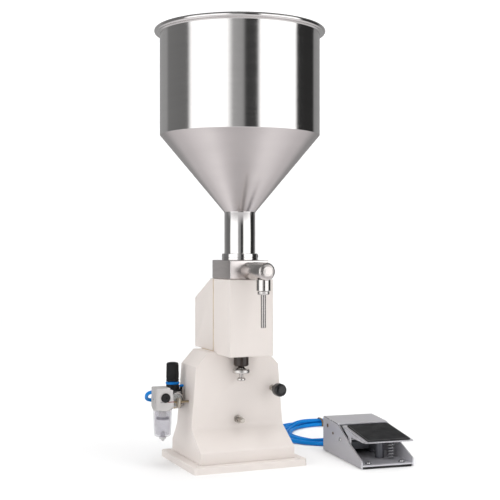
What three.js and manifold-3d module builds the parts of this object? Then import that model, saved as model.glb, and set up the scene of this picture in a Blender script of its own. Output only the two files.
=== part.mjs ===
// Pneumatic benchtop piston filler for pastes and creams, with its foot valve.
// Millimetres, +Z up. Origin: centre of the base plate's underside.
// The machine faces -Y, and +X is on the right of someone standing in front of it.
import * as THREE from 'three';
import { mergeVertices } from 'three/addons/utils/BufferGeometryUtils.js';
import Module from 'manifold-3d';

const wasm = await Module();
wasm.setup();

// ---------------------------------------------------------------- driving dimensions (mm)
const GAP = 0.3;                       // clearance left between pieces that rest on each other
const WALL = 3;                        // casing wall

const BASE = { hx: 95.7, hy: 83.6, t: 10.8, r: 6, hole: 3.25, holeX: 85, holeY: 72.5 };
const BODY = { hxFoot: 80.1, hxWaist: 79.2, hxShoulder: 71.4, hxTop: 50.6, zFoot: 29.1, zWaist: 59.5, zShoulder: 157.7, zTop: 180.6, zIn: 174.9, yFootF: -67.7, yF: -22.6, yB: 49, yFootB: 70.4 };
const HEAD = { hx: 36.8, yF: -80.8, ySeam: -9.4, yB: 83, zF: 177.7, zR: 180.9, zTop: 298.3, zBackTop: 264.2, ySlope: 8.6 };
const BLOCK = { hx: 32.4, yF: -71.7, yB: 7.9, z0: 298.6, z1: 328.4 };
const HOP_Y = -31.5;                   // hopper axis
const CYL_Y = -37.2;                   // piston axis
const HOPPER = { rNeck: 24.8, rDrum: 128.1, zNeck0: 329.2, zCone0: 404.9, zCone1: 528.3, zRim: 694, rBead: 3.7, rBeadC: 133.4, t: 1.5 };
const COLLAR = { r: 28.9, z0: 328.7, z1: 338.9 };
const SPOUT = { r: 13.7, z: 312.4, yTip: -143.4, yOut: -126.4 };
const BORE = 21;                       // product bore radius: 36 mm of stroke gives 50 ml
const STROKE = 36;

const STEEL = 0xc9c8c6, CREAM = 0xe9e1da, BLACK = 0x1a1a1b, BLUE = 0x0a6fd0, GREY = 0x8f9093;

// ---------------------------------------------------------------- helpers
const group = new THREE.Group();
const V = (x, y, z) => new THREE.Vector3(x, y, z);

function weld(g) {
  g = g.index ? g.toNonIndexed() : g.clone();
  for (const k of Object.keys(g.attributes)) if (k !== 'position') g.deleteAttribute(k);
  return mergeVertices(g, 1e-4);
}
function toM(g) {
  const w = weld(g);
  return new wasm.Manifold(new wasm.Mesh({ numProp: 3, vertProperties: new Float32Array(w.attributes.position.array), triVerts: new Uint32Array(w.index.array) }));
}
function toG(m) {
  const q = m.getMesh();
  const pos = new Float32Array(q.numVert * 3);
  for (let i = 0; i < q.numVert; i++) for (let c = 0; c < 3; c++) pos[i * 3 + c] = q.vertProperties[i * q.numProp + c];
  const g = new THREE.BufferGeometry();
  g.setAttribute('position', new THREE.BufferAttribute(pos, 3));
  g.setIndex(new THREE.BufferAttribute(new Uint32Array(q.triVerts), 1));
  return g;
}
const add = (...gs) => toG(gs.map(toM).reduce((a, b) => a.add(b)));
const cut = (a, ...gs) => toG(gs.map(toM).reduce((m, b) => m.subtract(b), toM(a)));
const meet = (a, b) => toG(toM(a).intersect(toM(b)));

function box(x0, x1, y0, y1, z0, z1) {
  return new THREE.BoxGeometry(x1 - x0, y1 - y0, z1 - z0).translate((x0 + x1) / 2, (y0 + y1) / 2, (z0 + z1) / 2);
}
// lathe about +Z from [r, z] points listed from the bottom axis point to the top axis point, or a closed loop
function lathe(pts, seg = 20) {
  return new THREE.LatheGeometry(pts.map(([r, z]) => new THREE.Vector2(r, z)), seg).rotateX(Math.PI / 2);
}
const rodZ = (r, z0, z1, seg = 16) => lathe([[0, z0], [r, z0], [r, z1], [0, z1]], seg);
const ringZ = (ri, ro, z0, z1, seg = 20) => lathe([[ri, z0], [ro, z0], [ro, z1], [ri, z1], [ri, z0]], seg);
// turn a solid made along +Z so that it points along -Y (its z becomes the distance in front of y = 0)
const faceFront = g => g.rotateX(Math.PI / 2);
const faceBack = g => g.rotateX(-Math.PI / 2);
const faceLeft = g => g.rotateY(-Math.PI / 2);
function hexZ(af, z0, z1, hole = 0) {
  const s = new THREE.Shape();
  for (let i = 0; i < 6; i++) { const a = (i + 0.5) * Math.PI / 3, r = af / 2 / Math.cos(Math.PI / 6); i ? s.lineTo(r * Math.cos(a), r * Math.sin(a)) : s.moveTo(r * Math.cos(a), r * Math.sin(a)); }
  if (hole) { const h = new THREE.Path(); h.absarc(0, 0, hole, 0, Math.PI * 2, true); s.holes.push(h); }
  return new THREE.ExtrudeGeometry(s, { depth: z1 - z0, bevelEnabled: false, curveSegments: 5 }).translate(0, 0, z0);
}
// outline of [u, v] points pushed along an axis: 'x' puts (u, v) on (y, z), 'y' on (x, z), 'z' on (x, y)
function slab(pts, axis, a, b) {
  const s = new THREE.Shape(pts.map(([u, v]) => new THREE.Vector2(u, v)));
  const g = new THREE.ExtrudeGeometry(s, { depth: b - a, bevelEnabled: false });
  if (axis === 'z') return g.translate(0, 0, a);
  if (axis === 'x') return g.translate(0, 0, a).applyMatrix4(new THREE.Matrix4().set(0, 0, 1, 0, 1, 0, 0, 0, 0, 1, 0, 0, 0, 0, 0, 1));
  return g.translate(0, 0, -b).applyMatrix4(new THREE.Matrix4().set(1, 0, 0, 0, 0, 0, -1, 0, 0, 1, 0, 0, 0, 0, 0, 1));
}
// round the corners of an outline: each point is [u, v, radius]
function rounded(pts, n = 4) {
  const out = [];
  pts.forEach(([u, v, r], i) => {
    if (!r) { out.push([u, v]); return; }
    const p = new THREE.Vector2(u, v), a = new THREE.Vector2(...pts.at(i - 1).slice(0, 2)), b = new THREE.Vector2(...pts[(i + 1) % pts.length].slice(0, 2));
    const da = a.clone().sub(p).normalize(), db = b.clone().sub(p).normalize();
    const half = Math.acos(THREE.MathUtils.clamp(da.dot(db), -1, 1)) / 2, d = r / Math.tan(half);
    const p0 = p.clone().addScaledVector(da, d), p1 = p.clone().addScaledVector(db, d);
    for (let k = 0; k <= n; k++) {
      const t = k / n, q0 = p0.clone().lerp(p, t), q1 = p.clone().lerp(p1, t);
      const q = q0.lerp(q1, t); out.push([q.x, q.y]);
    }
  });
  return out;
}
class Poly extends THREE.Curve {
  constructor(points) { super(); this.c = new THREE.CatmullRomCurve3(points, false, 'centripetal'); }
  getPoint(t, target) { return this.c.getPoint(t, target); }
}
function tube(points, r, sides = 8, steps = 24) {
  const s = new THREE.Shape();
  for (let i = 0; i < sides; i++) { const a = i * 2 * Math.PI / sides; i ? s.lineTo(r * Math.cos(a), r * Math.sin(a)) : s.moveTo(r, 0); }
  return new THREE.ExtrudeGeometry(s, { steps, bevelEnabled: false, extrudePath: new Poly(points) });
}
function put(parent, name, geo, color, roughness = 0.5, metalness = 0) {
  let g = geo.index ? geo : weld(geo);
  g.computeVertexNormals();
  const m = new THREE.Mesh(g, new THREE.MeshStandardMaterial({ color, roughness, metalness }));
  m.name = name;
  parent.add(m);
  return m;
}

// ================================================================ base and lower body
const machine = new THREE.Group(); group.add(machine);
{
  const { hx, hy, t, r, hole, holeX, holeY } = BASE;
  const s = new THREE.Shape();
  s.moveTo(-hx + r, -hy); s.lineTo(hx - r, -hy); s.absarc(hx - r, -hy + r, r, -Math.PI / 2, 0);
  s.lineTo(hx, hy - r); s.absarc(hx - r, hy - r, r, 0, Math.PI / 2);
  s.lineTo(-hx + r, hy); s.absarc(-hx + r, hy - r, r, Math.PI / 2, Math.PI);
  s.lineTo(-hx, -hy + r); s.absarc(-hx + r, -hy + r, r, Math.PI, Math.PI * 1.5);
  for (const x of [-holeX, holeX]) for (const y of [-holeY, holeY]) { const h = new THREE.Path(); h.absarc(x, y, hole, 0, Math.PI * 2, true); s.holes.push(h); }
  put(machine, 'base_plate', new THREE.ExtrudeGeometry(s, { depth: t, bevelEnabled: false, curveSegments: 5 }), CREAM, 0.45);
}
const SEL = { x: 60, z: 119 };         // push-pull knob on the front
const THR = { x: 0, z: 71.6 };         // throttle screw on the front
const NIP = { y: 2, z: 101, r: 1.9 };  // air nipple through the left wall
const FIT = { dx: 22, z: 96, y: 51.6 }; // hose fittings on the rear panel
{
  const B = BODY, z0 = BASE.t + GAP;
  const side = (d, top, bot) => rounded([
    [B.yFootF + d, bot], [B.yFootF + d, B.zFoot - d * 0.55, d ? 1.5 : 3], [B.yF + d, B.zWaist - d * 0.55, 9], [B.yF + d, top],
    [B.yB - d, top], [B.yB - d, B.zWaist - d * 0.55, 9], [B.yFootB - d, B.zFoot - d * 0.55, d ? 1.5 : 3], [B.yFootB - d, bot]]).reverse();
  const front = (d, top, bot) => [
    [-B.hxFoot + d, bot], [B.hxFoot - d, bot], [B.hxFoot - d, B.zFoot], [B.hxWaist - d, B.zWaist], [B.hxShoulder - d, B.zShoulder - d * 0.4],
    [B.hxTop - d * 0.4, top], [-B.hxTop + d * 0.4, top], [-B.hxShoulder + d, B.zShoulder - d * 0.4], [-B.hxWaist + d, B.zWaist], [-B.hxFoot + d, B.zFoot]];
  const outer = meet(slab(side(0, B.zTop, z0), 'x', -90, 90), slab(front(0, B.zTop, z0), 'y', -90, 90));
  const inner = meet(slab(side(WALL, B.zIn, z0 - 1), 'x', -90, 90), slab(front(WALL, B.zIn, z0 - 1), 'y', -90, 90));
  // the top is let down under the head's front cover
  const rebate = box(-HEAD.hx - GAP, HEAD.hx + GAP, -30, HEAD.ySeam + GAP, HEAD.zF - GAP, B.zTop + 5);
  let g = cut(outer, inner, rebate,
    faceFront(rodZ(3.6, 10, 40, 10)).translate(SEL.x, 0, SEL.z),
    faceFront(rodZ(4.2, 10, 40, 10)).translate(THR.x, 0, THR.z),
    faceLeft(rodZ(NIP.r + 0.5, 60, 90, 10)).translate(0, NIP.y, NIP.z),
    box(-50, 50, B.yB - 8, B.yB + 1, 76, 146),
    rodZ(9, B.zTop - 6, B.zTop + 6, 10).translate(0, 20, 0));
  put(machine, 'lower_body', g, CREAM, 0.42);

  // rear service panel with holes for two hose fittings and an exhaust silencer
  const panel = cut(box(-57, 57, B.yB + GAP, B.yB + 2.3, 69, 153),
    faceBack(rodZ(5.2, 40, 60, 10)).translate(-FIT.dx, 0, FIT.z), faceBack(rodZ(5.2, 40, 60, 10)).translate(FIT.dx, 0, FIT.z),
    faceBack(rodZ(5.2, 40, 60, 10)).translate(0, 0, 126));
  put(machine, 'rear_panel', panel, CREAM, 0.45);
}

// ================================================================ head
{
  const H = HEAD, zt = H.zTop;
  // front cover: open at the seam, with holes for the product cylinder and for the rod bumper
  const shell = cut(box(-H.hx, H.hx, H.yF, H.ySeam, H.zF, zt),
    box(-H.hx + 2.4, H.hx - 2.4, H.yF + 2.4, H.ySeam + 1, H.zF + 2.4, zt - 2.4),
    rodZ(24.6, zt - 5, zt + 2, 20).translate(0, CYL_Y, 0),
    rodZ(12.6, H.zF - 2, H.zF + 5, 16).translate(0, CYL_Y, 0));
  put(machine, 'head_front_cover', shell, CREAM, 0.42);
  // rear casing: open at the seam, sloped at the top of its back
  const prof = d => [[H.ySeam + (d ? -2 : 0.6), H.zR + d], [H.yB - d, H.zR + d], [H.yB - d, H.zBackTop - d * 0.6], [H.ySlope - d * 0.3, zt - d], [H.ySeam + (d ? -2 : 0.6), zt - d]];
  const rear = cut(slab(prof(0), 'x', -H.hx + 1.4, H.hx - 1.4), slab(prof(2.4), 'x', -H.hx + 3.8, H.hx - 3.8), rodZ(9, H.zR - 2, H.zR + 5, 10).translate(0, 20, 0));
  put(machine, 'head_rear_casing', rear, CREAM, 0.42);
}
{
  // bracket: upright plate behind the cylinders, and the flange that parts the product cylinder from the air cylinder
  const up = box(-31.5, 31.5, -8.6, -3.6, 184, 295.3);
  const fl = slab(rounded([[-30, -66, 6], [30, -66, 6], [30, -5], [-30, -5]]), 'z', 240.3, 248.3);
  put(machine, 'cylinder_bracket', cut(add(up, fl), rodZ(6.15, 230, 260, 14).translate(0, CYL_Y, 0)), 0xb4b4b6, 0.35, 0.8);
  // product cylinder under the valve block
  put(machine, 'product_cylinder', ringZ(BORE, 24, 248.6, BLOCK.z0 - GAP, 24).translate(0, CYL_Y, 0), STEEL, 0.2, 1);
  // air cylinder barrel with its bottom cap
  put(machine, 'air_cylinder', lathe([[6.15, 184.4], [24, 184.4], [24, 240], [21.5, 240], [21.5, 194.4], [6.15, 194.4], [6.15, 184.4]], 24).translate(0, CYL_Y, 0), 0xaeb0b4, 0.35, 0.8);
  // black rod bumper that shows under the head
  put(machine, 'rod_bumper', lathe([[6.15, 158.6], [11.3, 158.6], [12.1, 159.6], [12.1, 184.1], [6.15, 184.1], [6.15, 158.6]], 16).translate(0, CYL_Y, 0), BLACK, 0.6);
}

// ================================================================ piston and stroke adjuster (piston at the top of its stroke)
const ram = new THREE.Group(); ram.position.set(0, CYL_Y, 0); machine.add(ram);
const PIST = { top: 296.8, t: 11 };    // product piston, with its face this high at rest
{
  put(ram, 'piston_rod', lathe([[0, 140.9], [3.5, 140.9], [3.5, 158.3], [6, 158.9], [6, PIST.top - PIST.t - GAP], [4, PIST.top - PIST.t - GAP], [4, PIST.top - 3], [0, PIST.top - 3]], 14), STEEL, 0.2, 1);
  put(ram, 'product_piston', lathe([[4.3, PIST.top - PIST.t], [20.7, PIST.top - PIST.t], [20.7, PIST.top - 8.9], [18.6, PIST.top - 8.9], [18.6, PIST.top - 6.1], [20.7, PIST.top - 6.1], [20.7, PIST.top], [0, PIST.top], [0, PIST.top - 2.7], [4.3, PIST.top - 2.7], [4.3, PIST.top - PIST.t]], 24), STEEL, 0.25, 1);
  put(ram, 'air_piston', ringZ(6.3, 21.2, 230.6, 238.6, 24), 0x9b9da0, 0.4, 0.7);
  put(ram, 'piston_seal', ringZ(18.9, 20.9, PIST.top - 8.6, PIST.top - 6.4, 24), 0x222222, 0.7);
  put(ram, 'rod_end_bolt', lathe([[0, 134.3], [3.2, 134.3], [5.3, 134.8], [6.7, 136], [7.1, 137.4], [6.7, 138.9], [5.4, 140.1], [3.8, 140.6], [0, 140.6]], 20), STEEL, 0.25, 1);
  put(ram, 'stop_cone', lathe([[3.65, 152.9], [13.6, 152.9], [13.6, 153.8], [9.6, 154.4], [6.8, 155.3], [5.4, 156.6], [4.8, 158.2], [3.65, 158.2], [3.65, 152.9]], 20), STEEL, 0.25, 1);
  const wheel = [];
  for (let i = 0; i < 32; i++) { const a = i * Math.PI / 16, r = i % 2 ? 14.1 : 13.55; wheel.push([r * Math.cos(a), r * Math.sin(a)]); }
  put(ram, 'adjusting_wheel', cut(slab(wheel, 'z', 147.4, 152.6), rodZ(3.65, 140, 160, 14)), STEEL, 0.25, 1);
}

// ================================================================ valve block, check balls, spout
const PORT = { rSeat: 7, rCh: 11, zSeat: 318.6, rBall: 8.3 };
{
  const K = BLOCK;
  const chamber = lathe([[0, K.z0 + 2.6], [6.5, K.z0 + 2.6], [PORT.rCh, K.z0 + 7], [PORT.rCh, PORT.zSeat - 3], [PORT.rSeat, PORT.zSeat], [PORT.rSeat, 323], [19, K.z1 + 1], [0, K.z1 + 1]], 18).translate(0, HOP_Y, 0);
  // four slots round a web let the product down past the ball when it lies open
  const slots = [0, 1, 2, 3].map(i => { const a = (i + 0.5) * Math.PI / 2; return rodZ(3, K.z0 - 2, K.z0 + 9, 10).translate(7.4 * Math.cos(a), HOP_Y + 7.4 * Math.sin(a), 0); });
  const out = faceFront(rodZ(6.2, 38, 76, 14)).translate(0, 0, SPOUT.z - 1.2);
  put(machine, 'valve_block', cut(box(-K.hx, K.hx, K.yF, K.yB, K.z0, K.z1), chamber, ...slots, out), 0xb9b6b5, 0.35, 1);
  // the ball lies on the web, open, until the piston pushes product up
  put(machine, 'inlet_ball', new THREE.SphereGeometry(PORT.rBall, 14, 9).translate(0, HOP_Y, K.z0 + 2.9 + PORT.rBall), STEEL, 0.15, 1);
}
{
  const S = SPOUT, y0 = -BLOCK.yF + GAP;            // distances are measured forward from y = 0
  const yt = -S.yTip, yo = -S.yOut;
  const outer = faceFront(lathe([[0, y0], [S.r, y0], [S.r, yt - 4.6], [13.2, yt - 3.4], [11, yt - 1.9], [7.5, yt - 0.6], [0, yt]], 20)).translate(0, 0, S.z);
  const bore = faceFront(lathe([[0, y0 - 1], [6.2, y0 - 1], [6.2, 78], [9.4, 81.4], [9.4, 128], [0, 128]], 16)).translate(0, 0, S.z);
  const down = rodZ(5.2, S.z - 20, S.z, 14).translate(0, -yo, 0);
  put(machine, 'spout_body', cut(outer, bore, down, rodZ(11.35, S.z - 20, S.z - 12.4, 18).translate(0, -yo, 0)), STEEL, 0.18, 1);
  put(machine, 'outlet_ball', new THREE.SphereGeometry(7.6, 14, 9).translate(0, -82.8, S.z), STEEL, 0.15, 1);
  // coil spring that holds the outlet ball shut
  const pts = []; const n = 60, turns = 5; for (let i = 0; i <= n; i++) { const a = i / n * turns * 2 * Math.PI; pts.push(V(6.6 * Math.cos(a), -88.4 - 32.2 * i / n, S.z + 6.6 * Math.sin(a))); }
  put(machine, 'outlet_spring', tube(pts, 0.7, 4, 45), STEEL, 0.3, 1);
  // turned outlet with its nut and the discharge tube
  const z1 = S.z - 12.7;
  put(machine, 'outlet_body', lathe([[5.2, 282.6], [10.6, 282.6], [11, 283], [11, z1], [5.2, z1], [5.2, 282.6]], 18).translate(0, -yo, 0), STEEL, 0.18, 1);
  put(machine, 'outlet_nut', lathe([[4.3, 277], [8.6, 277], [9.2, 277.6], [9.2, 281.6], [8.6, 282.2], [4.3, 282.2], [4.3, 277]], 18).translate(0, -yo, 0), STEEL, 0.25, 1);
  put(machine, 'discharge_tube', ringZ(3.1, 4, 226.3, 292, 14).translate(0, -yo, 0), STEEL, 0.2, 1);
}

// ================================================================ hopper
{
  const h = HOPPER, t = h.t, c = (h.rDrum - h.rNeck) / (h.zCone1 - h.zCone0), n = Math.hypot(1, c);
  const bead = []; for (let i = 0; i <= 6; i++) { const a = Math.PI * (1.18 - 1.52 * i / 6); bead.push([h.rBeadC + h.rBead * Math.cos(a), h.zRim + h.rBead * Math.sin(a)]); }
  // outside going up, over the rolled rim, and back down the inside
  const prof = [[h.rNeck - t, h.zNeck0], [h.rNeck, h.zNeck0], [h.rNeck, h.zCone0], [h.rDrum, h.zCone1], [h.rDrum, h.zRim - 2.4],
    ...bead.reverse(), [h.rDrum - t, h.zRim + 0.6], [h.rDrum - t, h.zCone1 + 0.5], [h.rNeck - t, h.zCone0 + 0.5], [h.rNeck - t, h.zNeck0]];
  put(machine, 'hopper', lathe(prof, 40).translate(0, HOP_Y, 0), STEEL, 0.15, 1);
  put(machine, 'hopper_collar', ringZ(h.rNeck + GAP, COLLAR.r, COLLAR.z0, COLLAR.z1, 24).translate(0, HOP_Y, 0), STEEL, 0.3, 1);
}

// ================================================================ front controls
{
  const yf = -BODY.yF;
  put(machine, 'selector_nut', faceFront(add(hexZ(8.6, yf + GAP, yf + 4.6, 3.4), ringZ(3.4, 5.1, yf + 4.4, yf + 10.5, 16))).translate(SEL.x, 0, SEL.z), 0xb8b4ae, 0.3, 1);
  put(machine, 'throttle_nut', faceFront(add(hexZ(12, yf + GAP, yf + 5.2, 2.6), ringZ(2.6, 4.6, yf + 5, yf + 7.6, 10))).translate(THR.x, 0, THR.z), 0xb8b4ae, 0.3, 1);
  // drum-shaped knob with a domed face on its valve stem, standing out; it is pushed in to change the valve over
  put(machine, 'selector_knob', faceFront(lathe([[0, 6], [3, 6], [3, 43.4], [6, 43.4], [6, 46.4], [9.6, 46.4], [10.5, 47.3], [10.5, 57.2], [9.9, 58.7], [8.2, 60.4], [5, 61.6], [0, 62.1]], 20)).translate(SEL.x, 0, SEL.z), BLACK, 0.25);
  put(machine, 'throttle_screw', faceFront(cut(lathe([[0, 8], [2.2, 8], [2.2, 30.9], [3.9, 30.9], [3.9, 44.2], [3.4, 44.9], [0, 44.9]], 12), box(-5, 5, -0.5, 0.5, 43.3, 46))).translate(THR.x, 0, THR.z), 0xc8c4bc, 0.25, 1);
  // directional valve inside the body
  const v = add(box(-30, 30, -6, 18, 84, 112), box(-36, -29, -3, 15, 88, 108), box(29, 36, -3, 15, 88, 108), faceBack(rodZ(4.6, 17, 24, 10)).translate(-12, 0, 98), faceBack(rodZ(4.6, 17, 24, 10)).translate(12, 0, 98));
  put(machine, 'control_valve', v, 0xa9abb0, 0.4, 0.6);
}

// ================================================================ air preparation unit on the left side
const frl = new THREE.Group(); machine.add(frl);
const FILT = { x: -122.9, y: -9.1 }, REG = { x: -92.4, y: 32.6 };
{
  const F = FILT;
  // wall bracket behind the regulator
  const wall = slab([[18.5, 91], [48, 91], [48, 117], [27, 117], [24, 122], [18.5, 122]], 'x', -80.6, -78.6);
  put(frl, 'unit_bracket', add(wall, box(-80.6, -77.4, 21, 46, 96, 108)), 0xa7a8aa, 0.4, 0.9);
  // head: square, stepped down at its right, with its corners run out to the round of the bowl
  const plan = slab(rounded([[-14.7, -14.7, 2.5], [14.7, -14.7, 2.5], [14.7, 14.7, 2.5], [-14.7, 14.7, 2.5]], 3), 'z', 91, 128);
  const face = slab([[-14.7, 91.6], [14.7, 91.6], [14.7, 106], [12.6, 110], [12.4, 123.9], [7.8, 123.9], [7.8, 127.5], [-13.9, 127.5], [-14, 114], [-14.7, 110]], 'y', -16, 16);
  const round = lathe([[0, 91.6], [14.6, 91.6], [20.8, 99.5], [20.8, 129], [0, 129]], 24);
  const head = meet(meet(plan, face), round);
  put(frl, 'filter_head', cut(add(head, box(-6.5, 4.5, 14, 21.5, 112.8, 122.8), faceLeft(ringZ(1.9, 4.2, 5, 7.8, 10)).translate(0, 18.2, 118)), rodZ(11.6, 84, 99.6, 16),
    faceLeft(rodZ(1.6, 11, 16, 10)).translate(0, -7.5, 108.4), faceLeft(rodZ(1.6, 11, 16, 10)).translate(0, 3, 108.4),
    faceFront(rodZ(7.9, 13.5, 16, 16)).translate(0, 0, 112.4),
    faceLeft(rodZ(NIP.r + 0.4, -16, -7, 10)).translate(0, NIP.y - F.y, NIP.z)).translate(F.x, F.y, 0), 0xc4c2c2, 0.4, 0.6);
  put(frl, 'filter_plug', faceFront(lathe([[0, 13.8], [7.5, 13.8], [7.5, 17.4], [6.6, 18.4], [0, 18.4]], 16)).translate(F.x, F.y, 112.4), BLACK, 0.45);
  // nipple into the body wall, with its coupling block
  put(frl, 'filter_nipple', add(faceLeft(rodZ(NIP.r, 72.5, 114.5, 10)).translate(0, NIP.y, NIP.z), lathe([[0, 92.2], [3.1, 92.2], [4.1, 93.4], [4.1, 106.3], [3.1, 107.5], [0, 107.5]], 14).translate(-92.5, NIP.y, 0)), 0xb9b2a2, 0.35, 0.9);
  put(frl, 'filter_bowl', lathe([[4, 50.2], [11.2, 50.2], [13.2, 52.2], [14, 66], [14.9, 91.2], [11.3, 91.2], [11.3, 98.6], [9.3, 98.6], [9.3, 89.6], [12.6, 89.6], [11.9, 66], [11.2, 54], [4, 52.6], [4, 50.2]], 20).translate(F.x, F.y, 0), 0xd9dade, 0.12);
  put(frl, 'filter_element', add(rodZ(6.6, 80.6, 95.8, 14), rodZ(10, 77.8, 80.8, 16), rodZ(2, 95.6, 99.2, 8)).translate(F.x, F.y, 0), 0xf2f1ee, 0.8);
  put(frl, 'drain_screw', add(rodZ(3.6, 48, 57.6, 10), lathe([[0, 43.6], [3.1, 43.6], [3.4, 45.6], [5.6, 46.4], [5.6, 49.8], [0, 49.8]], 12), rodZ(1.4, 42.4, 44, 10)).translate(F.x, F.y, 0), 0xa9a9ab, 0.5);
}
{
  const R = REG, g = new THREE.Group(); g.position.set(R.x, R.y, 0); frl.add(g);
  const sq = (h, r) => rounded([[-h, -h, r], [h, -h, r], [h, h, r], [-h, h, r]], 3);
  put(g, 'regulator_body', cut(add(faceLeft(ringZ(1.9, 4.2, 11, 23.6, 10)).translate(0, 1, 101.5), slab(sq(11.4, 2.5), 'z', 87.2, 112), slab(sq(11.4, 2.5), 'z', 111.8, 114.6)), faceFront(rodZ(3.7, 8.2, 13, 10)).translate(-0.9, 0, 103), rodZ(8.6, 106, 120, 16)), 0xb8b8ba, 0.4, 0.7);
  put(g, 'regulator_bonnet', add(slab(sq(11.2, 3), 'z', 114.9, 118), lathe([[0, 112.5], [8.2, 112.5], [8.2, 117], [11.6, 117.8], [11.2, 122], [10.2, 125.8], [11.5, 126.1], [11.5, 130.6], [6, 130.6], [6, 134], [0, 134]], 18)), BLACK, 0.45);
  const knob = []; for (let i = 0; i < 36; i++) { const a = i * Math.PI / 18, r = i % 2 ? 10.4 : 9.9; knob.push([r * Math.cos(a), r * Math.sin(a)]); }
  put(g, 'regulator_knob', cut(add(slab(knob, 'z', 132.6, 159.2), rodZ(9.9, 131, 133, 18), lathe([[0, 159], [9.9, 159], [8.6, 161.2], [0, 161.6]], 18)), rodZ(6.4, 120, 134.4, 14)), BLACK, 0.4);
  // pressure gauge on the front of the regulator
  const gz = 103, gx = -0.9, gc = new THREE.Group(); g.add(gc); gc.position.set(gx, 0, gz);
  put(gc, 'gauge_case', faceFront(cut(lathe([[0, 8.6], [2.9, 8.6], [2.9, 13.4], [9.6, 13.4], [12.1, 15.4], [12.1, 23.6], [11.3, 24.4], [0, 24.4]], 20), rodZ(10.4, 19.8, 30, 20))), 0x1d1d1f, 0.35);
  put(gc, 'gauge_needle', faceFront(add(rodZ(1.2, 21, 22.1, 8), box(-0.45, 0.45, -2.6, 7.8, 21.1, 21.7).rotateZ(2.35))), 0x101010, 0.4);
}

// push-in fittings on the rear panel, and the tube that links the filter to the regulator
const PED = { x: 212.7, y: -67.2, rot: -5.5 * Math.PI / 180 };
const pedM = new THREE.Matrix4().makeRotationZ(PED.rot).setPosition(PED.x, PED.y, 0);
const HOSE_R = 3;
const fitting = () => add(hexZ(10, 0, 5, 1.9), ringZ(1.9, 4.6, 4.8, 12.6, 12), ringZ(3.2, 4, 12.4, 14.4, 12));
const PF = { dx: 14, y: 85.2, z: 24 };
put(machine, 'rear_fitting_a', faceBack(fitting()).translate(-FIT.dx, FIT.y, FIT.z), 0x3a3b3f, 0.4, 0.2);
put(machine, 'rear_fitting_b', faceBack(fitting()).translate(FIT.dx, FIT.y, FIT.z), 0x3a3b3f, 0.4, 0.2);
{
  const P = [V(-131.1, 9.1, 118), V(-134.2, 9.15, 118), V(-138.6, 12.4, 116.4), V(-140.2, 17.6, 113.2), V(-139.4, 23.8, 108.6), V(-136.4, 29.2, 104.3), V(-130.6, 32.6, 102.1), V(-124.3, 33.5, 101.55), V(-116.7, 33.6, 101.5)];
  put(machine, 'link_tube', tube(P, HOSE_R, 8, 22), BLUE, 0.35);
}
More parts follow.
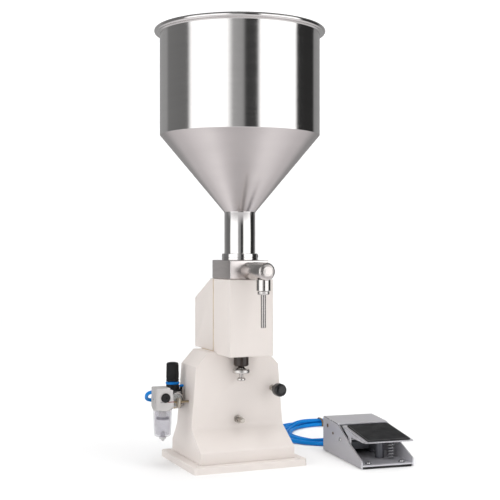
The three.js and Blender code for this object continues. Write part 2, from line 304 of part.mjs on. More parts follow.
// ================================================================ foot valve
const pedal = new THREE.Group(); pedal.position.set(PED.x, PED.y, 0); pedal.rotation.z = PED.rot; group.add(pedal);
const PV = { y: 5, z: 31.5 };          // pedal pivot
{
  put(pedal, 'pedal_mat', box(-42.4, 42.4, -82, 81, 0, 3.6), 0x1c1c1c, 0.85);
  // folded housing: floor, two side walls that slope down to the front, the top cover, and a low rear flange
  const out = rounded([[82.5, 1.2], [82.5, 59, 2.5], [19, 55.8], [12.5, 53.9], [-35, 31.1, 8], [-81.4, 14, 1], [-82.2, 11], [-82.2, 1.2]]).reverse();
  const body = slab(out, 'x', -45, 45);
  const inside = slab([[90, 5.9], [90, 57.4], [82.5, 57], [19, 53.8], [-90, 53.8], [-90, 5.9]].reverse(), 'x', -43, 43);
  const open = slab([[18.6, 50], [18.6, 70], [-90, 70], [-90, 50]].reverse(), 'x', -43, 43);
  const under = box(-43, 43, -90, 90, 0, 3.9);
  const rearWall = cut(box(-43.5, 43.5, 80.5, 82.5, 3.9, 57.6), ...[-PF.dx, PF.dx].map(x => faceBack(rodZ(5.6, 70, 90, 10)).translate(x, 0, PF.z)));
  put(pedal, 'pedal_housing', add(cut(body, inside, open, under, faceLeft(rodZ(2.35, -60, 60, 8)).translate(0, PV.y, PV.z)), rearWall), GREY, 0.45, 0.6);
  put(pedal, 'pedal_pin', faceLeft(add(rodZ(2.2, -46.8, 46.8, 8), rodZ(3.8, -47.2, -45.3, 10), rodZ(3.8, 45.3, 47.2, 10))).translate(0, PV.y, PV.z), 0xa8a8aa, 0.35, 1);
  // treadle: a folded plate with two side cheeks that carry it on the pin
  const sl = 0.12;
  const zt = y => 53.9 - (1.5 - y) * sl;            // top of the plate
  const topP = slab([[11.5, zt(11.5)], [11.5, zt(11.5) - 1.8], [-88.3, zt(-88.3) - 1.8], [-88.3, zt(-88.3)]], 'x', -41.4, 41.4);
  const cheek = rounded([[11.5, zt(11.5) - 0.2], [11.5, 33, 3], [8, 26, 3], [-31, 26], [-31, 42], [-80, zt(-80) - 3], [-88.3, zt(-88.3) - 0.4]]).reverse();
  const cheeks = [[-42.2, -40.4], [40.4, 42.2]].map(([p, q]) => slab(cheek, 'x', p, q));
  put(pedal, 'treadle', cut(add(topP, ...cheeks), faceLeft(rodZ(2.4, -60, 60, 8)).translate(0, PV.y, PV.z)), 0x9a9b9f, 0.4, 0.6);
  const pz = y => zt(y) + GAP;
  put(pedal, 'treadle_pad', slab([[-3, pz(-3)], [-3, pz(-3) + 3], [-86.6, pz(-86.6) + 3], [-86.6, pz(-86.6)]].reverse(), 'x', -36.2, 36.6), 0x18181a, 0.8);
  // return spring between the floor and the treadle
  const sx = 22, sy = -45, z0 = 7, z1 = zt(-45) - 3.4, pts = [], n = 60, turns = 6;
  for (let i = 0; i <= n; i++) { const t = i / n * turns * 2 * Math.PI; pts.push(V(sx + 5 * Math.cos(t), sy + 5 * Math.sin(t), z0 + (z1 - z0) * i / n)); }
  put(pedal, 'treadle_spring', tube(pts, 0.8, 4, 54), 0xb9b9ba, 0.3, 1);
  // valve with its plunger; the treadle presses the plunger
  put(pedal, 'pedal_valve', cut(add(box(-28, 24, 2, 62, 15, 34), ringZ(3.4, 7.5, 6.3, 30, 14).translate(9, -30, 0), box(5, 13, -24.5, 3, 16, 28), box(-24, -18, 12, 50, 6.2, 16), box(12, 18, 12, 50, 6.2, 16)), rodZ(3.4, 4, 40, 10).translate(9, -30, 0), box(-40, 40, 0.4, 9.6, 27.4, 40)), 0x3c3d40, 0.4, 0.4);
  put(pedal, 'pedal_port_block', add(box(-27, 27, 62.3, 68, 14, 33), ...[-PF.dx, PF.dx].map(x => faceBack(add(hexZ(9.4, 67.5, 73, 1.9), ringZ(1.9, 4.6, 72.5, 97.8, 12), ringZ(3.2, 4, 97.5, 99.6, 12))).translate(x, 0, PF.z))), 0x55565a, 0.4, 0.4);
  put(pedal, 'plunger', lathe([[0, 13], [3.1, 13], [3.1, 35.6], [4.6, 35.6], [4.6, 45.7], [3.4, 47.3], [0, 47.9]], 10).translate(9, -30, 0), 0xb4b4b6, 0.3, 1);
}
// ================================================================ hoses: two tubes from the rear panel to a coil on the floor, and from the coil to the foot valve
const COIL = { x: 266.6, y: 138, r0: 86.2, r1: 116, sy: 1.085 };
put(group, 'hose_coil', ringZ(COIL.r0, COIL.r1, 0.2, 6.8, 36).scale(1, COIL.sy, 1).translate(COIL.x, COIL.y, 0), BLUE, 0.35);
{
  const z = HOSE_R + 0.5, yb = FIT.y + 14.8, zf = FIT.z, X = FIT.dx;
  // leads: straight out of the panel, down to the floor, and round to the coil
  const A = [V(-X, yb, zf), V(-X, yb + 15, zf - 0.3), V(-X + 1, yb + 33, zf - 11), V(-X + 4, yb + 49, zf - 40), V(-X + 9, yb + 62, 25), V(-X + 16.5, yb + 72.5, 10.5), V(8, yb + 82, 4.4), V(26, 155, z), V(50, 162, z), V(98, 177, z), V(140, 199, z), V(166, 217.5, z), V(189, 237, z)];
  const B = [V(X, yb, zf), V(X, yb + 15, zf - 0.3), V(X + 1, yb + 32.5, zf - 11), V(X + 3, yb + 47, zf - 40), V(X + 7, yb + 59, 25), V(X + 14, yb + 68.5, 10.5), V(X + 27, yb + 75.5, 4.4), V(64, 147, z), V(86, 154, z), V(120, 172, z), V(145, 188.5, z), V(162, 202.5, z)];
  const p = (x, y, zz) => V(x, y, zz).applyMatrix4(pedM);
  const tA = [p(PF.dx, PF.y + 14.8, PF.z), p(PF.dx, PF.y + 19.3, PF.z), V(238, 40.2, 23.2), V(241, 46, 21.2), V(247.2, 53, 17), V(256, 57.4, 11.6), V(268, 58.8, 6.3), V(282, 58.3, 3.7), V(296, 58.6, 4.2)];
  const tB = [p(-PF.dx, PF.y + 14.8, PF.z), p(-PF.dx, PF.y + 19.3, PF.z), V(210.2, 45.5, 23.4), V(213.6, 54, 21.3), V(222, 62.4, 17), V(236, 67.6, 11), V(254, 68.5, 5.5), V(276, 66.6, z)];
  put(group, 'hose_a_lead', tube(A, HOSE_R, 8, 30), BLUE, 0.35);
  put(group, 'hose_a_tail', tube(tA, HOSE_R, 8, 9), BLUE, 0.35);
  put(group, 'hose_b_lead', tube(B, HOSE_R, 8, 28), BLUE, 0.35);
  put(group, 'hose_b_tail', tube(tB, HOSE_R, 8, 9), BLUE, 0.35);
}

export default group;
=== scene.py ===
import bpy, bmesh, math
import numpy as np
from mathutils import Vector, Matrix


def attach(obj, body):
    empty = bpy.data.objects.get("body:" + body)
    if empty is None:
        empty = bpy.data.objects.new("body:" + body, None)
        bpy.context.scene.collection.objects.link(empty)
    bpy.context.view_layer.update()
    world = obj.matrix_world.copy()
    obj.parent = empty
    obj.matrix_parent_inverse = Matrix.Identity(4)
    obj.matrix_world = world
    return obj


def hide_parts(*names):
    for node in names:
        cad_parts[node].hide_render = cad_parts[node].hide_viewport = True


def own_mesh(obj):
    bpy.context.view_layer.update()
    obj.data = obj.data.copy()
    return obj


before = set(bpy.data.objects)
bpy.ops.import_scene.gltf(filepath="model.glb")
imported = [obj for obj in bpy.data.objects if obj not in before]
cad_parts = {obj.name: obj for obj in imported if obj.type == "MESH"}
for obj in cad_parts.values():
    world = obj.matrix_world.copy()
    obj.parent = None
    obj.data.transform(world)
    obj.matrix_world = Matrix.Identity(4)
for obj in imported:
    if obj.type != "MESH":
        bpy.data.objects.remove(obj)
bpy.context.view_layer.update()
K = 0.001
PI = math.pi
SCN = bpy.context.scene

# ------------------------------------------------------------------ camera
cam_data = bpy.data.cameras.new("view_camera")
cam_data.lens = 74.49
cam_data.sensor_width = 36.0
cam = bpy.data.objects.new("view_camera", cam_data)
SCN.collection.objects.link(cam)
cam.location = (-0.6291, -1.5714, 0.3533)
cam.rotation_euler = Vector((0.3873, 0.9220, math.tan(math.radians(-0.3)))).to_track_quat("-Z", "Y").to_euler()
SCN.camera = cam


# ------------------------------------------------------------------ materials
def lin(c):
    return tuple((v / 12.92 if v <= 0.04045 else ((v + 0.055) / 1.055) ** 2.4) for v in c)


def rgb(r, g, b):
    return lin((r / 255, g / 255, b / 255))


def material(name, col, rough, metal=0.0, spread=0.05, size=30.0, bump=0.05, grain=900.0, rough_spread=0.08, stretch=(1, 1, 1),
             coat=0.0, coat_rough=0.1, alpha=1.0, spec=0.5, second=None, bump_dist=0.0002, aniso=0.0, sheen=0.0, transmission=0.0):
    m = bpy.data.materials.new(name)
    m.use_nodes = True
    nt = m.node_tree
    p = nt.nodes["Principled BSDF"]
    tc = nt.nodes.new("ShaderNodeTexCoord")
    mp = nt.nodes.new("ShaderNodeMapping")
    mp.inputs["Scale"].default_value = stretch
    nt.links.new(tc.outputs["Object"], mp.inputs["Vector"])
    n1 = nt.nodes.new("ShaderNodeTexNoise")
    n1.inputs["Scale"].default_value = size
    n1.inputs["Detail"].default_value = 4.0
    nt.links.new(mp.outputs["Vector"], n1.inputs["Vector"])
    ramp = nt.nodes.new("ShaderNodeValToRGB")
    a = tuple(max(0.0, v * (1 - spread)) for v in col)
    b = tuple(min(1.0, v * (1 + spread)) for v in col) if second is None else second
    ramp.color_ramp.elements[0].position = 0.3
    ramp.color_ramp.elements[0].color = (*a, 1)
    ramp.color_ramp.elements[1].position = 0.7
    ramp.color_ramp.elements[1].color = (*b, 1)
    nt.links.new(n1.outputs["Fac"], ramp.inputs["Fac"])
    nt.links.new(ramp.outputs["Color"], p.inputs["Base Color"])
    n2 = nt.nodes.new("ShaderNodeTexNoise")
    n2.inputs["Scale"].default_value = grain
    n2.inputs["Detail"].default_value = 3.0
    nt.links.new(mp.outputs["Vector"], n2.inputs["Vector"])
    mr = nt.nodes.new("ShaderNodeMapRange")
    mr.inputs["To Min"].default_value = max(0.02, rough - rough_spread)
    mr.inputs["To Max"].default_value = min(1.0, rough + rough_spread)
    n3 = nt.nodes.new("ShaderNodeTexNoise")
    n3.inputs["Scale"].default_value = size * 2.3
    n3.inputs["Detail"].default_value = 6.0
    nt.links.new(mp.outputs["Vector"], n3.inputs["Vector"])
    nt.links.new(n3.outputs["Fac"], mr.inputs["Value"])
    nt.links.new(mr.outputs["Result"], p.inputs["Roughness"])
    bp = nt.nodes.new("ShaderNodeBump")
    bp.inputs["Strength"].default_value = bump
    bp.inputs["Distance"].default_value = bump_dist
    nt.links.new(n2.outputs["Fac"], bp.inputs["Height"])
    nt.links.new(bp.outputs["Normal"], p.inputs["Normal"])
    p.inputs["Metallic"].default_value = metal
    p.inputs["Specular IOR Level"].default_value = spec
    p.inputs["Coat Weight"].default_value = coat
    p.inputs["Coat Roughness"].default_value = coat_rough
    p.inputs["Alpha"].default_value = alpha
    p.inputs["Anisotropic"].default_value = aniso
    p.inputs["Sheen Weight"].default_value = sheen
    p.inputs["Transmission Weight"].default_value = transmission
    return m


CREAM = material("cream_powder_coat", rgb(227, 219, 214), 0.42, spread=0.012, size=14, bump=0.12, grain=1500, rough_spread=0.06, bump_dist=0.00012)
CREAM_IN = material("cream_inside", rgb(214, 207, 200), 0.6, spread=0.03, size=20, bump=0.1, grain=1200)
POLISHED = material("polished_stainless", rgb(224, 222, 221), 0.12, metal=1, spread=0.02, size=5, bump=0.03, grain=60, stretch=(1, 1, 26), rough_spread=0.05, bump_dist=0.00008)
SATIN_CONE = material("satin_stainless", rgb(210, 205, 204), 0.24, metal=1, spread=0.025, size=9, bump=0.012, grain=90, stretch=(1, 1, 5), rough_spread=0.04, bump_dist=0.0001)
MACHINED = material("ground_stainless", rgb(238, 231, 229), 0.3, metal=1, spread=0.04, size=28, bump=0.1, grain=260, stretch=(1, 1, 9), rough_spread=0.06, bump_dist=0.00008)
TURNED = material("turned_stainless", rgb(212, 209, 207), 0.12, metal=1, spread=0.03, size=40, bump=0.05, grain=420, stretch=(1, 1, 14), rough_spread=0.04, bump_dist=0.00005)
ZINC = material("zinc_plated", rgb(178, 172, 165), 0.28, metal=1, spread=0.08, size=120, bump=0.12, grain=700, rough_spread=0.1)
BRIGHT = material("bright_steel", rgb(205, 205, 206), 0.22, metal=1, spread=0.05, size=150, bump=0.08, grain=900)
CAST = material("cast_alloy_paint", rgb(196, 193, 192), 0.42, metal=0.3, spread=0.035, size=60, bump=0.25, grain=1100, rough_spread=0.08)
CAST_RAW = material("cast_alloy", rgb(176, 174, 172), 0.38, metal=0.9, spread=0.06, size=90, bump=0.3, grain=1000)
DARK_ALLOY = material("dark_alloy", rgb(108, 109, 115), 0.4, metal=0.6, spread=0.07, size=70, bump=0.2, grain=900)
GREY_PAINT = material("grey_metallic_paint", rgb(176, 174, 179), 0.4, metal=0.25, spread=0.03, size=25, bump=0.12, grain=1300, rough_spread=0.05, coat=0.25, coat_rough=0.2)
GREY_PAINT.node_tree.nodes["Principled BSDF"].inputs["Sheen Weight"].default_value = 0.2
# painted light: the inside of the pedal housing has the same grey paint as its outside; this lighter copy stands in for
# light bouncing inside the housing
GREY_INSIDE_PAINTED_LIGHT = material("grey_inside_painted_light", rgb(205, 204, 209), 0.46, metal=0.2, spread=0.05, size=25, bump=0.15, grain=1300)
RUBBER = material("black_rubber", rgb(41, 41, 42), 0.72, spread=0.12, size=60, bump=0.35, grain=1400, second=rgb(53, 53, 54), spec=0.18)
SEAL = material("seal_rubber", rgb(20, 20, 20), 0.6, spread=0.1, size=80, bump=0.2, grain=1200, spec=0.25)
PLASTIC = material("black_plastic", rgb(19, 19, 21), 0.34, spread=0.12, size=70, bump=0.12, grain=1500, rough_spread=0.07, spec=0.28)
BUMPER = material("bumper_plastic", rgb(46, 35, 30), 0.3, spread=0.14, size=50, bump=0.1, grain=900, spec=0.5)
GLOSS = material("black_gloss", rgb(25, 24, 26), 0.2, spread=0.08, size=60, bump=0.05, grain=900, rough_spread=0.04, spec=0.5)
WHITE = material("white_sintered", rgb(238, 236, 232), 0.7, spread=0.03, size=160, bump=0.4, grain=2200)
BOWL = material("frosted_bowl", rgb(180, 177, 187), 0.18, spread=0.02, size=40, bump=0.06, grain=300, rough_spread=0.05, alpha=0.3, spec=0.2)
LENS = material("gauge_lens", rgb(235, 238, 240), 0.05, spread=0.01, size=40, bump=0.02, grain=200, rough_spread=0.02, alpha=0.12, spec=0.6)
HOSE = material("blue_tube", rgb(0, 116, 198), 0.3, spread=0.10, size=14, bump=0.04, grain=500, rough_spread=0.05, second=rgb(0, 136, 218), spec=0.18)
BLUE = material("blue_plastic", rgb(0, 112, 192), 0.36, spread=0.08, size=120, bump=0.08, grain=1500, spec=0.2)
BRASS = material("brass", rgb(196, 160, 96), 0.28, metal=1, spread=0.08, size=120, bump=0.12, grain=900)
FITTING = material("nickel_fitting", rgb(196, 190, 178), 0.34, metal=0.9, spread=0.06, size=140, bump=0.12, grain=1000)
DRAIN = material("smoke_plastic", rgb(198, 196, 197), 0.34, spread=0.05, size=140, bump=0.12, grain=1200, spec=0.4)
SPOUT = material("brushed_stainless", rgb(212, 207, 205), 0.25, metal=1, spread=0.03, size=24, bump=0.012, grain=120, rough_spread=0.05, bump_dist=0.00005)
TUBE = material("drawn_stainless", rgb(176, 172, 171), 0.2, metal=1, spread=0.04, size=60, bump=0.05, grain=500, stretch=(1, 1, 8), rough_spread=0.05, bump_dist=0.00005)
DULL_BRASS = material("plated_brass", rgb(176, 160, 132), 0.34, metal=0.95, spread=0.08, size=160, bump=0.12, grain=1000)
RED = material("red_plastic", rgb(120, 38, 28), 0.4, spread=0.08, size=120, bump=0.1, grain=1200)
TIE = material("paper_tie", rgb(150, 122, 84), 0.7, spread=0.2, size=260, bump=0.4, grain=1600, second=rgb(92, 74, 50))
DIAL = material("dial_white", rgb(240, 240, 238), 0.5, spread=0.01, size=80, bump=0.05, grain=1500)
INK = material("dial_ink", rgb(24, 24, 26), 0.5, spread=0.05, size=200, bump=0.05, grain=1500)


# ------------------------------------------------------------------ mesh helpers, in millimetres
def as_mesh(bm):
    bmesh.ops.recalc_face_normals(bm, faces=bm.faces[:])
    me = bpy.data.meshes.new("tmp")
    bm.to_mesh(me)
    bm.free()
    return me


def lathe(prof, seg=96, ridge=None):
    """Turned solid about +Z. prof is [r, z] (or [r, z, fillet]) from the bottom; closed when its first point is its last.
    ridge(i, seg, r) may change the radius around the turn."""
    pts = fillet(prof, 5)
    closed = len(pts) > 2 and abs(pts[0][0] - pts[-1][0]) < 1e-6 and abs(pts[0][1] - pts[-1][1]) < 1e-6
    if closed:
        pts = pts[:-1]
    bm = bmesh.new()
    rows = []
    for r, z in pts:
        if r < 1e-6:
            rows.append([bm.verts.new((0, 0, z))])
        else:
            row = []
            for i in range(seg):
                a = 2 * PI * i / seg
                q = ridge(i, seg, r, z) if ridge else r
                row.append(bm.verts.new((q * math.cos(a), q * math.sin(a), z)))
            rows.append(row)
    pairs = list(zip(rows, rows[1:])) + ([(rows[-1], rows[0])] if closed else [])
    for a, b in pairs:
        for i in range(seg):
            j = (i + 1) % seg
            if len(a) == 1 and len(b) == 1:
                break
            if len(a) == 1:
                bm.faces.new((a[0], b[j], b[i]))
            elif len(b) == 1:
                bm.faces.new((a[i], a[j], b[0]))
            else:
                bm.faces.new((a[i], a[j], b[j], b[i]))
    return as_mesh(bm)


def fillet(pts, n=5):
    """Round the corners of a list of [u, v, radius] points; a closed list repeats its first point."""
    out = []
    closed = len(pts) > 2 and abs(pts[0][0] - pts[-1][0]) < 1e-6 and abs(pts[0][1] - pts[-1][1]) < 1e-6
    m = len(pts)
    for i, p in enumerate(pts):
        r = p[2] if len(p) > 2 else 0
        if not r or (not closed and i in (0, m - 1)):
            out.append((p[0], p[1]))
            continue
        a = pts[i - 1] if i > 0 else pts[m - 2]
        b = pts[i + 1] if i < m - 1 else pts[1]
        if closed and i == m - 1:
            out.append(out[0])
            continue
        P, A, B = Vector(p[:2]), Vector(a[:2]), Vector(b[:2])
        da, db = (A - P), (B - P)
        la, lb = da.length, db.length
        da.normalize(); db.normalize()
        c = max(-1.0, min(1.0, da.dot(db)))
        half = math.acos(c) / 2
        d = min(r / math.tan(half), la * 0.49, lb * 0.49)
        rr = d * math.tan(half)
        bis = (da + db)
        if bis.length < 1e-9:
            out.append((p[0], p[1]))
            continue
        bis.normalize()
        C = P + bis * (rr / math.sin(half))
        p0, p1 = P + da * d, P + db * d
        a0, a1 = math.atan2(p0.y - C.y, p0.x - C.x), math.atan2(p1.y - C.y, p1.x - C.x)
        da_ = (a1 - a0 + PI) % (2 * PI) - PI
        for k in range(n + 1):
            t = a0 + da_ * k / n
            out.append((C.x + rr * math.cos(t), C.y + rr * math.sin(t)))
    return out


def ringed(pts, n=5):
    """Rounded closed outline without a repeated point."""
    return fillet(list(pts) + [pts[0]], n)[:-1]


def prism(outline, axis, a, b):
    """Outline pushed along an axis: 'x' puts (u, v) on (y, z), 'y' on (x, z), 'z' on (x, y)."""
    bm = bmesh.new()
    put = {"x": lambda u, v, w: (w, u, v), "y": lambda u, v, w: (u, w, v), "z": lambda u, v, w: (u, v, w)}[axis]
    lo = [bm.verts.new(put(u, v, a)) for u, v in outline]
    hi = [bm.verts.new(put(u, v, b)) for u, v in outline]
    bm.faces.new(lo[::-1])
    bm.faces.new(hi)
    n = len(outline)
    for i in range(n):
        j = (i + 1) % n
        bm.faces.new((lo[i], lo[j], hi[j], hi[i]))
    return as_mesh(bm)


def box(x0, x1, y0, y1, z0, z1):
    return prism([(x0, y0), (x1, y0), (x1, y1), (x0, y1)], "z", z0, z1)


def bevel(me, off, seg=3, ang=30, clamp=True, sel=None):
    bm = bmesh.new()
    bm.from_mesh(me)
    bmesh.ops.remove_doubles(bm, verts=bm.verts[:], dist=1e-4)
    ed = [e for e in bm.edges if len(e.link_faces) == 2 and e.calc_face_angle(0) > math.radians(ang) and (sel is None or sel(e))]
    bmesh.ops.bevel(bm, geom=ed, offset=off, offset_type="OFFSET", segments=seg, profile=0.5, affect="EDGES", clamp_overlap=clamp)
    return as_mesh(bm)


def move(me, x=0, y=0, z=0):
    me.transform(Matrix.Translation((x, y, z)))
    return me


def turn(me, deg, axis):
    me.transform(Matrix.Rotation(math.radians(deg), 4, axis))
    return me


def front(me): return turn(me, 90, "X")      # +Z becomes -Y
def back(me): return turn(me, -90, "X")      # +Z becomes +Y
def left(me): return turn(me, -90, "Y")      # +Z becomes -X


def join(*ms):
    bm = bmesh.new()
    for m in ms:
        bm.from_mesh(m)
    me = bpy.data.meshes.new("tmp")
    bm.to_mesh(me)
    bm.free()
    return me


def boolean(a, b, op):
    oa = bpy.data.objects.new("a", a)
    ob = bpy.data.objects.new("b", b)
    SCN.collection.objects.link(oa)
    SCN.collection.objects.link(ob)
    mod = oa.modifiers.new("b", "BOOLEAN")
    mod.operation = op
    mod.solver = "EXACT"
    mod.object = ob
    bpy.context.view_layer.update()
    dg = bpy.context.evaluated_depsgraph_get()
    me = bpy.data.meshes.new_from_object(oa.evaluated_get(dg))
    bpy.data.objects.remove(oa)
    bpy.data.objects.remove(ob)
    return me


def union(a, *bs):
    for b in bs:
        a = boolean(a, b, "UNION")
    return a


def cut(a, *bs):
    for b in bs:
        a = boolean(a, b, "DIFFERENCE")
    return a


def meet(a, b): return boolean(a, b, "INTERSECT")


def piece(name, me, body, slot, mat, nodes=(), smooth=32, mats=None):
    me.transform(Matrix.Scale(K, 4))
    me.name = name
    me.shade_smooth()
    me.set_sharp_from_angle(angle=math.radians(smooth))
    me.materials.clear()
    for m in (mats or [mat]):
        me.materials.append(m)
    ob = bpy.data.objects.new(name, me)
    SCN.collection.objects.link(ob)
    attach(ob, body)
    if nodes:
        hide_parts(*nodes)
    return ob


def tube_along(pts, r, sides=16, caps=True):
    """Mesh tube along points, in millimetres, with parallel-transported rings."""
    P = [Vector(p) for p in pts]
    bm = bmesh.new()
    t0 = (P[1] - P[0]).normalized()
    nrm = t0.orthogonal().normalized()
    rows = []
    prev = t0
    for i, p in enumerate(P):
        t = ((P[min(i + 1, len(P) - 1)] - P[max(i - 1, 0)])).normalized()
        q = prev.rotation_difference(t)
        nrm = (q @ nrm).normalized()
        prev = t
        bi = t.cross(nrm).normalized()
        rows.append([bm.verts.new(p + (nrm * math.cos(a) + bi * math.sin(a)) * r) for a in [2 * PI * k / sides for k in range(sides)]])
    for a, b in zip(rows, rows[1:]):
        for k in range(sides):
            j = (k + 1) % sides
            bm.faces.new((a[k], a[j], b[j], b[k]))
    if caps:
        bm.faces.new(rows[0][::-1])
        bm.faces.new(rows[-1])
    return as_mesh(bm)


# ------------------------------------------------------------------ hoses: the same route as the CAD solids, in millimetres
CX, CY, SY = 266.6, 138.0, 1.085
PX, PY, PROT = 212.7, -67.2, math.radians(-5.5)


def ped(x, y, z):
    c, s = math.cos(PROT), math.sin(PROT)
    return (PX + c * x - s * y, PY + s * x + c * y, z)


PEDM = Matrix.Translation((PX, PY, 0)) @ Matrix.Rotation(PROT, 4, "Z")


def level(table, phi):
    for (a, va), (b, vb) in zip(table, table[1:]):
        if phi <= b:
            t = (phi - a) / (b - a)
            t = t * t * (3 - 2 * t)
            return va + (vb - va) * t
    return table[-1][1]


ZB, ZT, ZH = 3.5, 9.1, 9.9
RAD = {"a": [(0, 119), (60, 102.3), (225, 102.3), (310, 124), (360, 104), (415, 99.1), (590, 99.1), (640, 97), (670, 97), (720, 91.2), (775, 92.7), (818, 92.7), (862, 87.5)],
       "b": [(0, 112.6), (60, 95.9), (225, 95.9), (310, 117.6), (360, 97.6), (415, 89.5), (590, 89.5), (670, 90.6), (720, 84.8), (775, 83.1), (880, 83.1)]}
HGT = {"a": [(0, ZB), (360, ZB), (388, ZH), (420, ZT), (585, ZT), (602, ZH), (614, ZH), (648, ZB), (710, ZB), (740, ZH), (775, ZT), (815, ZT), (840, ZH)],
       "b": [(0, ZB), (900, ZB)]}


def ring_point(h, phi):
    th = math.radians(130 - phi)
    r = level(RAD[h], phi)
    return (CX + r * math.cos(th), CY + SY * r * math.sin(th), level(HGT[h], phi))


HY, HZ, HX = 66.4, 96.0, 22.0
LEAD = {"a": [(-HX, HY, HZ), (-HX, HY + 15, HZ - 0.3), (-HX + 1, HY + 33, HZ - 11), (-HX + 4, HY + 49, HZ - 40), (-HX + 9, HY + 62, 25), (-HX + 16.5, HY + 72.5, 10.5), (8, HY + 82, 4.4), (26, 155, ZB), (50, 162, ZB), (98, 177, ZB), (140, 199, ZB), (166, 217.5, ZB)],
        "b": [(HX, HY, HZ), (HX, HY + 15, HZ - 0.3), (HX + 1, HY + 32.5, HZ - 11), (HX + 3, HY + 47, HZ - 40), (HX + 7, HY + 59, 25), (HX + 14, HY + 68.5, 10.5), (HX + 27, HY + 75.5, 4.4), (64, 147, ZB), (86, 154, ZB), (120, 172, ZB), (145, 188.5, ZB), (168, 207.5, ZB)]}
TAIL = {"a": [(319.5, 64.2, 9.5), (308.5, 60.4, 6.9), (296, 58.6, 4.2), (282, 58.3, 3.7), (268, 58.8, 6.3), (256, 57.4, 11.6), (247.2, 53, 17), (241, 46, 21.2), (238, 40.2, 23.2), ped(14.05, 104.5, 24), ped(14, 100, 24)],
        "b": [(322.5, 72.4, ZB), (313, 67.6, ZB), (302, 65.6, ZB), (290, 65.4, ZB), (276, 66.6, ZB), (254, 68.5, 5.5), (236, 67.6, 11), (222, 62.4, 17), (213.6, 54, 21.3), (210.2, 45.5, 23.4), ped(-13.95, 104.5, 24), ped(-14, 100, 24)]}


def catmull(P, n=12):
    P = [np.array(p, float) for p in P]
    P = [2 * P[0] - P[1]] + P + [2 * P[-1] - P[-2]]
    out = []
    for i in range(1, len(P) - 2):
        p0, p1, p2, p3 = P[i - 1:i + 3]
        t0 = 0.0
        t1 = t0 + np.linalg.norm(p1 - p0) ** 0.5
        t2 = t1 + np.linalg.norm(p2 - p1) ** 0.5
        t3 = t2 + np.linalg.norm(p3 - p2) ** 0.5
        for k in range(n):
            t = t1 + (t2 - t1) * k / n
            a1 = (t1 - t) / (t1 - t0) * p0 + (t - t0) / (t1 - t0) * p1
            a2 = (t2 - t) / (t2 - t1) * p1 + (t - t1) / (t2 - t1) * p2
            a3 = (t3 - t) / (t3 - t2) * p2 + (t - t2) / (t3 - t2) * p3
            b1 = (t2 - t) / (t2 - t0) * a1 + (t - t0) / (t2 - t0) * a2
            b2 = (t3 - t) / (t3 - t1) * a2 + (t - t1) / (t3 - t1) * a3
            out.append((t2 - t) / (t2 - t1) * b1 + (t - t1) / (t2 - t1) * b2)
    out.append(P[-2])
    return np.array(out)


def evenly(P, step):
    d = np.r_[0, np.cumsum(np.linalg.norm(np.diff(P, axis=0), axis=1))]
    s = np.linspace(0, d[-1], int(round(d[-1] / step)) + 1)
    return np.stack([np.interp(s, d, P[:, c]) for c in range(3)], axis=1)


def hose_line(h):
    P = evenly(catmull(LEAD[h] + [ring_point(h, p) for p in np.arange(8, {"a": 852, "b": 866}[h] + 1, 9.9)] + TAIL[h]), 4.0)
    for _ in range(6):
        P[1:-1] = 0.25 * P[:-2] + 0.5 * P[1:-1] + 0.25 * P[2:]
    return P


HOSES = {}
for h in "ab":
    P = hose_line(h)
    length = float(np.linalg.norm(np.diff(P, axis=0), axis=1).sum()) * K
    ob = piece("hose_" + h, tube_along(P, 3.0, 16), "machine", "blue_hose", HOSE, ("hose_coil", f"hose_{h}_lead", f"hose_{h}_tail"), smooth=60)
    HOSES[h] = (ob, P, length)

# the paper-covered wire that ties the coil
th = math.radians(81.5)
tc_, tn = Vector((CX + 94 * math.cos(th), CY + SY * 94 * math.sin(th), 0)), Vector((math.cos(th), SY * math.sin(th), 0)).normalized()
tt = Vector((-tn.y, tn.x, 0))
loop = ringed([(-16.0, 0.25, 3.2), (14.2, 0.25, 3.2), (14.2, 8.0, 3.2), (9.2, 13.6, 3.0), (-6.0, 13.6, 3.0), (-16.0, 8.2, 3.2)], 6)
bm = bmesh.new()
rows = []
for u, v in loop:
    n2 = Vector((u + 1.0, v - 6.5)).normalized()
    base = tc_ + tn * u + Vector((0, 0, v))
    outw = tn * n2.x + Vector((0, 0, n2.y))
    rows.append([bm.verts.new(base + tt * w + outw * (t if v > 0.6 else 0)) for w, t in ((-2.0, 0), (-2.0, 0.35), (-0.9, 0.6), (0.9, 0.6), (2.0, 0.35), (2.0, 0))])
for i in range(len(rows)):
    a, b = rows[i], rows[(i + 1) % len(rows)]
    for k in range(6):
        bm.faces.new((a[k], a[(k + 1) % 6], b[(k + 1) % 6], b[k]))
tie = piece("hose_tie", as_mesh(bm), "machine", "black_plastic", TIE, (), smooth=50)
for h, others in (("a", [tie]), ("b", [])):
    ob, P, length = HOSES[h]


# ------------------------------------------------------------------ small parts
PLACE = [bpy.data.materials.new("slot_%d" % i) for i in range(3)]


def slots(me):
    if len(me.materials) < 3:
        keep = [p.material_index for p in me.polygons]
        while len(me.materials) < 3:
            me.materials.append(PLACE[len(me.materials)])
        for p, k in zip(me.polygons, keep):
            p.material_index = k
    return me


_boolean = boolean


def boolean(a, b, op):
    return _boolean(slots(a), slots(b), op)


def bevel(me, off, seg=3, ang=30, sel=None, mat=None):
    """Rounded edges; the rounded faces take material slot mat, which is where a finish wears."""
    bm = bmesh.new()
    bm.from_mesh(me)
    bmesh.ops.remove_doubles(bm, verts=bm.verts[:], dist=1e-3)
    bmesh.ops.dissolve_limit(bm, angle_limit=math.radians(0.4), verts=bm.verts[:], edges=bm.edges[:])
    ed = [e for e in bm.edges if len(e.link_faces) == 2 and e.calc_face_angle(0) > math.radians(ang) and (sel is None or sel(e))]
    bmesh.ops.bevel(bm, geom=ed, offset=off, offset_type="OFFSET", segments=seg, profile=0.5, affect="EDGES", clamp_overlap=True, material=-1 if mat is None else mat)
    mats = list(me.materials)
    out = as_mesh(bm)
    if mats:
        keep = [p.material_index for p in out.polygons]
        for m in mats:
            out.materials.append(m)
        for p, k in zip(out.polygons, keep):
            p.material_index = k
    return out


